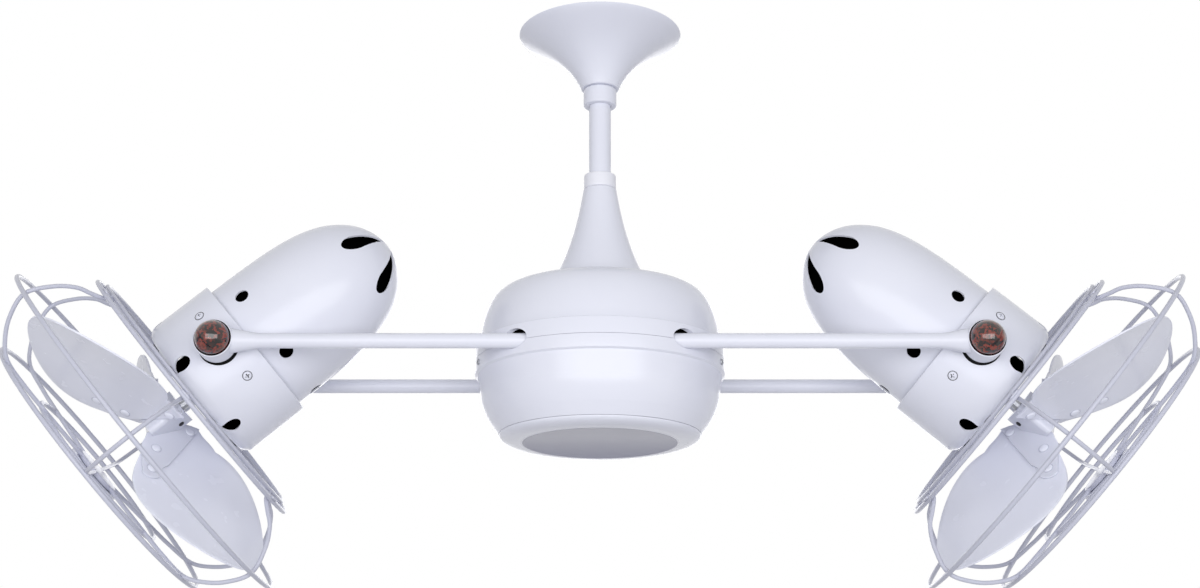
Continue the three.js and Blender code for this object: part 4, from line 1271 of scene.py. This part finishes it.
@dataclass
class Head(HeadPart):
    """One fan head without its rotor: collar, motor shell, wires and medallion."""

    body: ClassVar[str] = "head"
    collar: float = 72.8
    collar_rear: float = -25.0
    collar_front: float = 45.0
    corner: float = 12.0
    lip: float = 67.2
    wall: float = 1.6
    pivot_hole: float = 18.5
    shaft_hole: float = 16.0
    vent: float = 6.5
    vent_tail: float = 15.0
    vent_azimuth: float = 84.0
    vent_sink: float = 1.3
    vent_back: float = 10.1
    rear_edge: float = 3.4
    screw_size: Pair = (3.6, 1.1)
    screw_ring: float = 4.3
    screw_s: float = -3.0
    screw_spread: float = 30.0
    bullet: float = 66.46
    bullet_mid: float = 20.0
    bullet_length: float = 202.4
    bullet_power_s: float = 5.04
    bullet_power_r: float = 1.86
    bullet_front: float = -11.0
    bullet_lip: float = 1.4
    side_vent_s: float = -44.0
    side_vent_azimuth: float = 65.0
    nose_slot_azimuth: float = 20.0
    nose_slot_middle: float = 45.0
    nose_slot: float = 8.0
    nose_slot_tail: float = 37.0
    # painted shade: gap and front station of the black sheet behind the nose slots
    felt_gap: float = 5.0
    felt_front: float = -90.0
    wire: float = 2.2
    rib_wire: float = 2.0
    spoke: float = 1.8
    back_ring: Pair = (137.0, 49.3)
    hook_ring: Pair = (128.5, 45.0)
    middle_ring: Pair = (184.4, 101.5)
    front_ring: Pair = (140.5, 153.5)
    inner_ring: Pair = (80.7, 157.5)
    rib_rear: tuple[Pair, ...] = ((132.5, 52), (144, 58.2), (157, 64.5), (171, 79))
    rib_front: tuple[Pair, ...] = ((173.5, 123), (159, 139.5))
    rib_azimuth: float = 46.0
    foot: float = 56.8
    clip: Row = (126.5, 139.6, 5.5)
    clip_reach: Pair = (46.4, 47.8)
    plate: float = 24.0
    plate_s: float = 158.0
    medallion: float = 30.3

    def openings(self) -> Form:
        """Returns the cutters of the pivot holes and of the six vents across the front corner."""
        cuts = bar(Vector((0, -90, 0)), Vector((0, 90, 0)), self.pivot_hole, sides=64)
        middle = (self.collar - self.vent_sink, 0, self.collar_front - self.vent_back)
        seat = Matrix.Translation(middle) @ Matrix.Rotation(math.pi / 4, 4, "Y")
        vent = drop(self.vent, self.vent_tail, -12, 12)
        turns = map(spun, around(6, self.vent_azimuth))
        return cuts.add(*[vent.placed(turn @ seat) for turn in turns])

    def cup(self) -> None:
        """Makes the collar with its corner vents and pivot holes; its inside is black as painted
        shade.
        """
        rear, front, turns = self.collar_rear, self.collar_front, spread(13, 0, 90)
        middle = (self.collar - self.corner, front - self.corner)
        side_wall = [(self.collar, s) for s in spread(6, rear + 3, middle[1] - 3)]
        outer = filleted([(self.lip, rear), (self.collar, rear), *side_wall], self.rear_edge, 6)
        outer += [*arc(middle, self.corner, turns), (self.shaft_hole, front)]
        wall = self.wall
        inner = [(self.lip, rear + wall), (self.collar - wall, rear + wall)]
        inner += [*arc(middle, self.corner - wall, turns), (self.shaft_hole, front - wall)]
        self._piece(
            "collar_cup", shell(outer, inner, 160), [Finish.WHITE, Finish.LINING], "white_metal",
            "head_collar", cuts=self.openings(),
        )

    def screws(self) -> None:
        """Makes the four collar screws, each in a thin dark ring of painted shadow."""
        head, cross = screw(*self.screw_size)
        # painted shadow: a thin black ring round each head; finish 1 is also the painted shade on
        # the recesses' floors
        ring = hoop((self.screw_ring, 0.05), 0.28, 40).finished(1)
        heads, crosses = Form(), Form()
        for pivot in (90, 270):
            for azimuth in (pivot - self.screw_spread, pivot + self.screw_spread):
                out = polar(1, azimuth, 0)
                seat = square_to(polar(self.collar, azimuth, self.screw_s), out)
                heads.add(head.placed(seat), ring.placed(seat))
                crosses.add(cross.placed(seat))
        finishes = [Finish.WHITE, Finish.BLACK]
        self._piece("collar_screws", heads, finishes, "white_metal", cuts=crosses)

    def bullet_profile(self, wall: float, front: float) -> Profile:
        """Returns the bullet's outline from its front to the nose.

        Args:
            wall: what is taken off for the inside.
            front: station of the first row.
        """
        length = self.bullet_length - wall
        start = math.asin(((self.bullet_mid - front) / length) ** (self.bullet_power_s / 2))
        rows = []
        for turn in (start, *map(math.radians, (1, 2, 3.5, 5, *spread(30, 7, 90)))):
            reach = math.sin(turn) ** (2 / self.bullet_power_s)
            radius = max(math.cos(turn), 0.0) ** (2 / self.bullet_power_r)
            rows.append(((self.bullet - wall) * radius, self.bullet_mid - length * reach))
        rows[-1] = (0.0, rows[-1][1])
        return rows

    def slots(self) -> Form:
        """Returns the cutters of the motor shell's six round vents and six nose slots."""
        cuts = Form()
        for azimuth in around(6, self.side_vent_azimuth):
            ends = [polar(radius, azimuth, self.side_vent_s) for radius in (50, 85)]
            cuts.add(bar(*ends, self.vent, sides=40))
        nose = self.bullet_mid - self.bullet_length
        slot = drop(self.nose_slot, self.nose_slot_tail, nose - 1, nose + 44)
        slot = slot.placed(Matrix.Translation((self.nose_slot_middle, 0, 0)))
        turns = map(spun, around(6, self.nose_slot_azimuth))
        return cuts.add(*[slot.placed(turn) for turn in turns])

    def shell(self) -> None:
        """Makes the bullet-shaped motor shell, black inside as painted shade, and a black sheet
        behind its nose slots that is painted shade seen through them.
        """
        front, lip = self.bullet_front, self.bullet - 4
        outer = [(lip, front), *self.bullet_profile(0, front)]
        front -= self.bullet_lip
        inner = [(lip, front), *self.bullet_profile(self.wall, front)]
        self._piece(
            "bullet_shell", shell(outer, inner, 160), [Finish.WHITE, Finish.LINING], "white_metal",
            "motor_shell", cuts=self.slots(),
        )
        # painted shade: a black sheet behind the nose slots
        shade_sheet = [self.bullet_profile(self.felt_gap + more, self.felt_front) for more in (0, 2)]
        self._piece("nose_felt", shell(*shade_sheet, 96), [Finish.LINING, Finish.LINING], "black_plastic")

    def back_wires(self) -> None:
        """Makes the back ring, its six spokes and their feet on black washers."""
        form = hoop(self.back_ring, self.wire)
        station, face = self.back_ring[1], self.collar_front
        for azimuth in around(6, self.rib_azimuth + 30):
            reach = spread(8, self.foot, self.back_ring[0])
            form.add(wire([polar(radius, azimuth, station) for radius in reach], self.spoke))
            base = polar(self.foot, azimuth, face + 1.1)
            form.add(bar(base, polar(self.foot, azimuth, station + 2.8), 4.0, 0.8))
            form.add(bar(polar(self.foot, azimuth, face + 0.1), base, 4.6, 0.3).finished(1))
        self._piece("back_wires", form, [Finish.WIRE, Finish.BLACK], "white_metal", "back_frame")

    def cage_wires(self) -> None:
        """Makes the front cage: four rings, six bent ribs, the clips and the centre plate."""
        weld = self.rib_wire + self.wire - 1.6
        profile = [
            self.hook_ring, *self.rib_rear,
            (self.middle_ring[0] - weld, self.middle_ring[1]), *self.rib_front,
            (self.front_ring[0], self.front_ring[1] - weld), (110, 154.5),
            (self.inner_ring[0], self.inner_ring[1] - weld + 1), (self.plate - 4, self.plate_s),
        ]
        rings = (self.middle_ring, self.front_ring, self.inner_ring)
        form = hoop(self.hook_ring, self.rib_wire).add(*[hoop(ring, self.wire) for ring in rings])
        low, high, half = self.clip
        outline = [(low, -half), (high, -half), (high, half), (low, half), (low, 0.1 - half)]
        clip = prism(filleted(outline, 2.2), *self.clip_reach)
        for azimuth in around(6, self.rib_azimuth):
            path = curved([polar(radius, azimuth, s) for radius, s in profile], 6)
            form.add(wire(path, self.rib_wire), clip.placed(spun(azimuth)))
        plate = filleted([(0, 155.8), (self.plate, 155.8), (self.plate, 160.2), (0, 160.2)], 1.0)
        form.add(turned(plate, 64))
        self._piece("cage_wires", form, [Finish.WIRE], "white_metal", "front_cage")

    def badge(self) -> None:
        """Makes the turned medallion on the cage's centre plate."""
        base = self.plate_s + 2.5
        edge = self.medallion
        profile = filleted(
            [(0, base), (edge, base), (edge, base + 2.2), (edge - 2.4, base + 3.6),
             (edge - 4, base + 3.6), (edge - 5.2, base + 2.9), (edge - 7, base + 2.9),
             (edge - 8.4, base + 3.5), (12, base + 3.9), (0, base + 4)],
            0.5,
        )
        disc = turned(profile, 96)
        self._piece("medallion_disc", disc, [Finish.WHITE], "white_metal", "medallion")

    def build(self) -> None:
        """Makes every piece."""
        self.cup()
        self.screws()
        self.shell()
        self.back_wires()
        self.cage_wires()
        self.badge()


# ---- Rotors --------------------------------------------------------------------------------------


@dataclass
class Rotor(HeadPart):
    """The blades of one head and the bracket that carries them."""

    body: ClassVar[str] = "rotor"
    azimuth: float = 52.1
    station: float = 100.7
    tip: float = 167.8
    root: float = 22.0
    half: float = 64.3
    taper: float = -0.23
    skew: float = 7.6
    pitch: float = -32.9
    twist: float = 9.0
    cone: float = 8.0
    camber: float = 2.3
    thick: float = 1.6
    heel: tuple[Row, ...] = (
        (11.5, 20, 45.5), (12.8, 8, 45.6), (14.2, -5, 45.7), (15.4, -15, 45.8), (16.8, -21, 46),
        (20, -26, 46.2), (24, -31, 47), (28.5, -36.4, 48.7), (33, -41.5, 50.4), (37, -46, 51.2),
    )
    rivets: tuple[Pair, ...] = ((16.5, 32), (25, -15), (45, -33))
    rivet: float = 4.6
    hub_in: float = 11.6
    hub_rear: float = 62.0
    hub_front: float = 98.0
    hub_round: float = 4.0
    fork: tuple[Row, ...] = ((6.0, -14.0, 30.0), (10.0, -18.0, 38.0))
    fork_root: float = 15.3
    fork_high: Pair = (45.6, 1.955)
    fork_low: Pair = (-25.58, 0.6)
    fork_thick: float = 1.8
    fork_gap: float = 0.6
    lobe: Row = (45.0, -33.0, 11.0)
    set_screw: Row = (6.0, 72.0, 2.6)

    def surface(self, rho: float, tau: float, offset: float) -> Vector:
        """Returns a point of the blade surface.

        Args:
            rho: distance outwards from the shaft.
            tau: distance across the blade.
            offset: distance from the surface towards the front.
        """
        pitch = math.radians(self.pitch + self.twist * (rho - 100) / 100)
        rise = self.cone * (rho - 100) / 100 + self.camber * (tau / self.half) ** 2
        return Vector(
            (
                rho,
                tau * math.cos(pitch) - offset * math.sin(pitch),
                self.station + tau * math.sin(pitch) + rise + offset * math.cos(pitch),
            )
        )

    def petal_rows(self) -> list[Row]:
        """Returns the rows across one blade, from its heel to its round tip."""
        rows = list(self.heel)
        for angle in spread(30, 138, 3):
            turn = math.cos(math.radians(angle))
            half = self.half * math.sin(math.radians(angle)) * (1 + self.taper * turn)
            rho = (self.tip + self.root) / 2 + (self.tip - self.root) / 2 * turn
            shift = self.skew * (rho - self.root) / (self.tip - self.root)
            rows.append((rho, shift - half, shift + half))
        return rows

    def fork_rows(self) -> list[Row]:
        """Returns the rows across one arm of the bracket, from the hub to the round lobe."""
        rows = list(self.fork)
        rho_c, tau_c, radius = self.lobe
        for rho in spread(24, self.fork_root, rho_c + radius - 0.05):
            out = rho - self.fork_root
            high = self.fork_high[0] - self.fork_high[1] * out
            low = self.fork_low[0] - self.fork_low[1] * out
            bow = math.sqrt(max(radius**2 - (rho - rho_c) ** 2, 0.0))
            if rho > rho_c:
                low = tau_c - bow
            if rho > rho_c + 2:
                high = tau_c + bow
            rows.append((rho, low, max(high, low + 0.2)))
        return rows

    def blades(self) -> None:
        """Makes the three petal blades."""
        petal = sheet(self.petal_rows(), 19, (-self.thick / 2, self.thick / 2), self.surface)
        for k, azimuth in enumerate(around(3, self.azimuth), 1):
            form = petal.placed(spun(azimuth))
            self._piece(f"petal_{k}", form, [Finish.BLADE], "white_blade", f"blade_{k}", edge=0.4)

    def hub(self) -> Form:
        """Returns the bracket's hub: a three-sided tube with round corners."""
        outline = []
        for azimuth in around(3, self.azimuth + 60):
            for turn in spread(9, azimuth - 60, azimuth + 60):
                corner = polar(2 * (self.hub_in - self.hub_round), azimuth, 0)
                point = corner + polar(self.hub_round, turn, 0)
                outline.append((point.x, point.y))
        return prism(outline, self.hub_rear, self.hub_front)

    def rivet_head(self, place: Pair, offset: float, way: int) -> Form:
        """Returns one domed rivet head, with a thin grey ring round its foot as painted shadow.

        Args:
            place: its place on the blade surface.
            offset: offset of the face it sits on.
            way: 1 for the front and -1 for the back.
        """
        size = self.rivet
        dome = [
            (0, -0.2), (size, -0.2), (size * 0.96, 0.6), (size * 0.75, 1.3),
            (size * 0.4, 1.6), (0, 1.7),
        ]
        base = self.surface(*place, offset)
        ahead = (self.surface(*place, offset + 1) - base) * way
        # painted shadow: a thin grey ring round the rivet's foot
        seat = hoop((size + 0.25, 0.1), 0.3, 32).finished(2)
        return turned(filleted(dome, 0.5), 32).add(seat).placed(square_to(base, ahead))

    def bracket(self) -> None:
        """Makes the bracket: hub, three bent plates, set screws and rivets."""
        front = -self.thick / 2 - self.fork_gap
        back = front - self.fork_thick
        plate = sheet(self.fork_rows(), 9, (back, front), self.surface)
        across, along, radius = self.set_screw
        ends = [Vector((self.hub_in + x, across, along)) for x in (-1, 0.8)]
        dark = bar(*ends, radius, 0.3).finished(1)
        form, heads = self.hub(), Form()
        for turn in map(spun, around(3, self.azimuth)):
            form.add(plate.placed(turn))
            heads.add(dark.placed(turn))
            for place in self.rivets:
                for offset, way in ((back, -1), (self.thick / 2, 1)):
                    heads.add(self.rivet_head(place, offset, way).placed(turn))
        self._piece("bracket_sheet", form, [Finish.WHITE], "white_metal", "blade_bracket", edge=0.5)
        # the grey wire enamel is the rivets' painted shadow rings; the black is the set screws
        self._piece("rivet_heads", heads, [Finish.BLADE, Finish.BLACK, Finish.WIRE], "white_metal")

    def build(self) -> None:
        """Makes every piece."""
        self.blades()
        self.bracket()


# ---- Frame nodes that stay -----------------------------------------------------------------------


@dataclass
class InnerWorks:
    """Dresses the frame's own nodes that stay: hanger, spindle, hub, motors and electrics."""

    palette: Palette
    nodes: dict[str, bpy.types.Object]
    finishes: dict[str, Finish] = field(
        default_factory=lambda: {
            "ceiling_bracket": Finish.STEEL,
            "hanger_pin": Finish.STEEL,
            "hanger_ball": Finish.BLACK,
            "coupler_pin": Finish.STEEL,
            "spindle": Finish.STEEL,
            "spindle_nut": Finish.STEEL,
            "upper_bearing": Finish.STEEL,
            "lower_bearing": Finish.STEEL,
            "arm_hub": Finish.CASTING,
            "slip_ring_drum": Finish.BRASS,
            "brush_holder": Finish.BLACK,
            "run_capacitor": Finish.BLACK,
            "terminal_block": Finish.BLACK,
        }
    )
    head_finishes: dict[str, Finish] = field(
        default_factory=lambda: {
            "motor": Finish.MOTOR,
            "motor_bearing": Finish.STEEL,
            "motor_shaft": Finish.STEEL,
            "pivot_frame": Finish.CASTING,
        }
    )

    def build(self) -> None:
        """Gives each node its finish."""
        wanted = dict(self.finishes)
        for side in Side:
            wanted |= {f"{side.word}_{node}": finish for node, finish in self.head_finishes.items()}
        for node, finish in wanted.items():
            for slot in self.nodes[node].material_slots:
                slot.material = self.palette.get(finish)
            log.info("%s: %s", node, finish.name.lower())


# ---- Studio --------------------------------------------------------------------------------------


@dataclass(frozen=True)
class Softbox:
    """A rectangular lamp that faces the fan, in metres and watts."""

    name: str
    at: Row
    size: Pair
    watts: float


@dataclass
class Studio:
    """Camera, soft light, white backdrop and pale floor. Lengths are in metres."""

    eye: Row = (0.0, -1.6, -0.73507)
    rise: float = 106.32
    lens: float = 52.6
    sensor: float = 36.0
    ambient: float = 0.42
    aim: Row = (0.0, 0.0, -0.3)
    softboxes: tuple[Softbox, ...] = (
        Softbox("key", (0.0, -2.3, -0.6), (1.7, 1.3), 22),
        Softbox("back", (0.0, 2.3, 0.1), (2.0, 1.2), 11),
        Softbox("left_fill", (-1.0, -1.8, -0.5), (0.7, 1.0), 6),
        Softbox("right_fill", (1.0, -1.8, -0.5), (0.7, 1.0), 7),
    )
    floor_z: float = -2.4
    floor_half: float = 14.0
    haze: Row = (1.5, 6.0, 0.4)

    def camera(self) -> None:
        """Sets the camera where the photograph was taken from."""
        data = bpy.data.cameras.new("camera")
        data.lens = self.lens
        data.sensor_width = self.sensor
        thing = bpy.data.objects.new("camera", data)
        thing.location = self.eye
        thing.rotation_euler = (math.radians(self.rise), 0, 0)
        bpy.context.scene.collection.objects.link(thing)
        bpy.context.scene.camera = thing

    def world(self) -> None:
        """Makes a world that is white to the camera and gives soft light."""
        world = bpy.data.worlds.new("studio")
        bpy.context.scene.world = world
        net = Net(world)
        strength = net.node("ShaderNodeMapRange", {}, {"Value": net.seen(), "To Min": self.ambient})
        power = strength.outputs[0]
        sky = net.node("ShaderNodeBackground", {}, {"Color": WHITE, "Strength": power})
        net.node("ShaderNodeOutputWorld", {}, {0: sky.outputs[0]})

    def lamp(self, box: Softbox) -> None:
        """Hangs one soft box."""
        data = bpy.data.lights.new(box.name, "AREA")
        data.shape = "RECTANGLE"
        data.size, data.size_y = box.size
        data.energy = box.watts
        thing = bpy.data.objects.new(box.name, data)
        thing.location = box.at
        way = Vector(self.aim) - Vector(box.at)
        thing.rotation_euler = way.to_track_quat("-Z", "Y").to_euler()
        bpy.context.scene.collection.objects.link(thing)

    def paper(self) -> bpy.types.Material:
        """Returns the floor's pale paper, with a white glow that is seen but lights nothing."""
        net = Net(bpy.data.materials.new("floor_paper"))
        near, far, least = self.haze
        sheen = net.mixed(net.noise(30.0), linear("f2f2f5"), linear("eeeef2"))
        paper = net.node("ShaderNodeBsdfPrincipled", {}, {"Base Color": sheen, "Roughness": 0.9})
        glow = net.node("ShaderNodeEmission", {}, {"Color": WHITE, "Strength": 1.0})
        reach = net.node("ShaderNodeVectorMath", {"operation": "LENGTH"}, {0: net.place()})
        fade = net.node(
            "ShaderNodeMapRange",
            {},
            {"Value": reach.outputs["Value"], "From Min": near, "From Max": far, "To Min": least},
        )
        share = Signal(net, fade.outputs[0]) * net.seen()
        layers = {0: share, 1: paper.outputs[0], 2: glow.outputs[0]}
        mix = net.node("ShaderNodeMixShader", {}, layers)
        net.node("ShaderNodeOutputMaterial", {}, {0: mix.outputs[0]})
        return net.owner

    def floor(self) -> None:
        """Lays the floor."""
        mesh = bpy.data.meshes.new("floor")
        made = bmesh.new()
        bmesh.ops.create_grid(made, x_segments=8, y_segments=8, size=self.floor_half)
        made.to_mesh(mesh)
        made.free()
        mesh.materials.append(self.paper())
        thing = bpy.data.objects.new("floor", mesh)
        thing.location = (0, 0, self.floor_z)
        bpy.context.scene.collection.objects.link(thing)

    def build(self) -> None:
        """Sets up everything but the camera."""
        bpy.context.scene.view_settings.view_transform = "Standard"
        self.world()
        for box in self.softboxes:
            self.lamp(box)
        self.floor()


def main() -> None:
    """Builds the fan and its studio."""
    logging.basicConfig(level=logging.INFO, format="%(message)s")
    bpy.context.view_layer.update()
    studio = Studio()
    studio.camera()
    palette = Palette()
    bench = Bench(palette)
    Hanger(bench).build()
    Housing(bench).build()
    Arms(bench).build()
    for side in Side:
        Head(bench, side).build()
        Rotor(bench, side).build()
    InnerWorks(palette, frame["nodes"]).build()
    studio.build()


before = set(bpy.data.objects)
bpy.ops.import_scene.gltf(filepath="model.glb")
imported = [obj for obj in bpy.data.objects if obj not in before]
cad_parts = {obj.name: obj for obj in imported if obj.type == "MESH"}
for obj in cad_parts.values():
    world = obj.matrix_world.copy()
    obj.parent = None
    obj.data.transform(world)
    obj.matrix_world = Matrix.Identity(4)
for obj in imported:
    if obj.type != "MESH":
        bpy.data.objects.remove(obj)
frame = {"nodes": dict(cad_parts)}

if __name__ == "__main__":
    main()
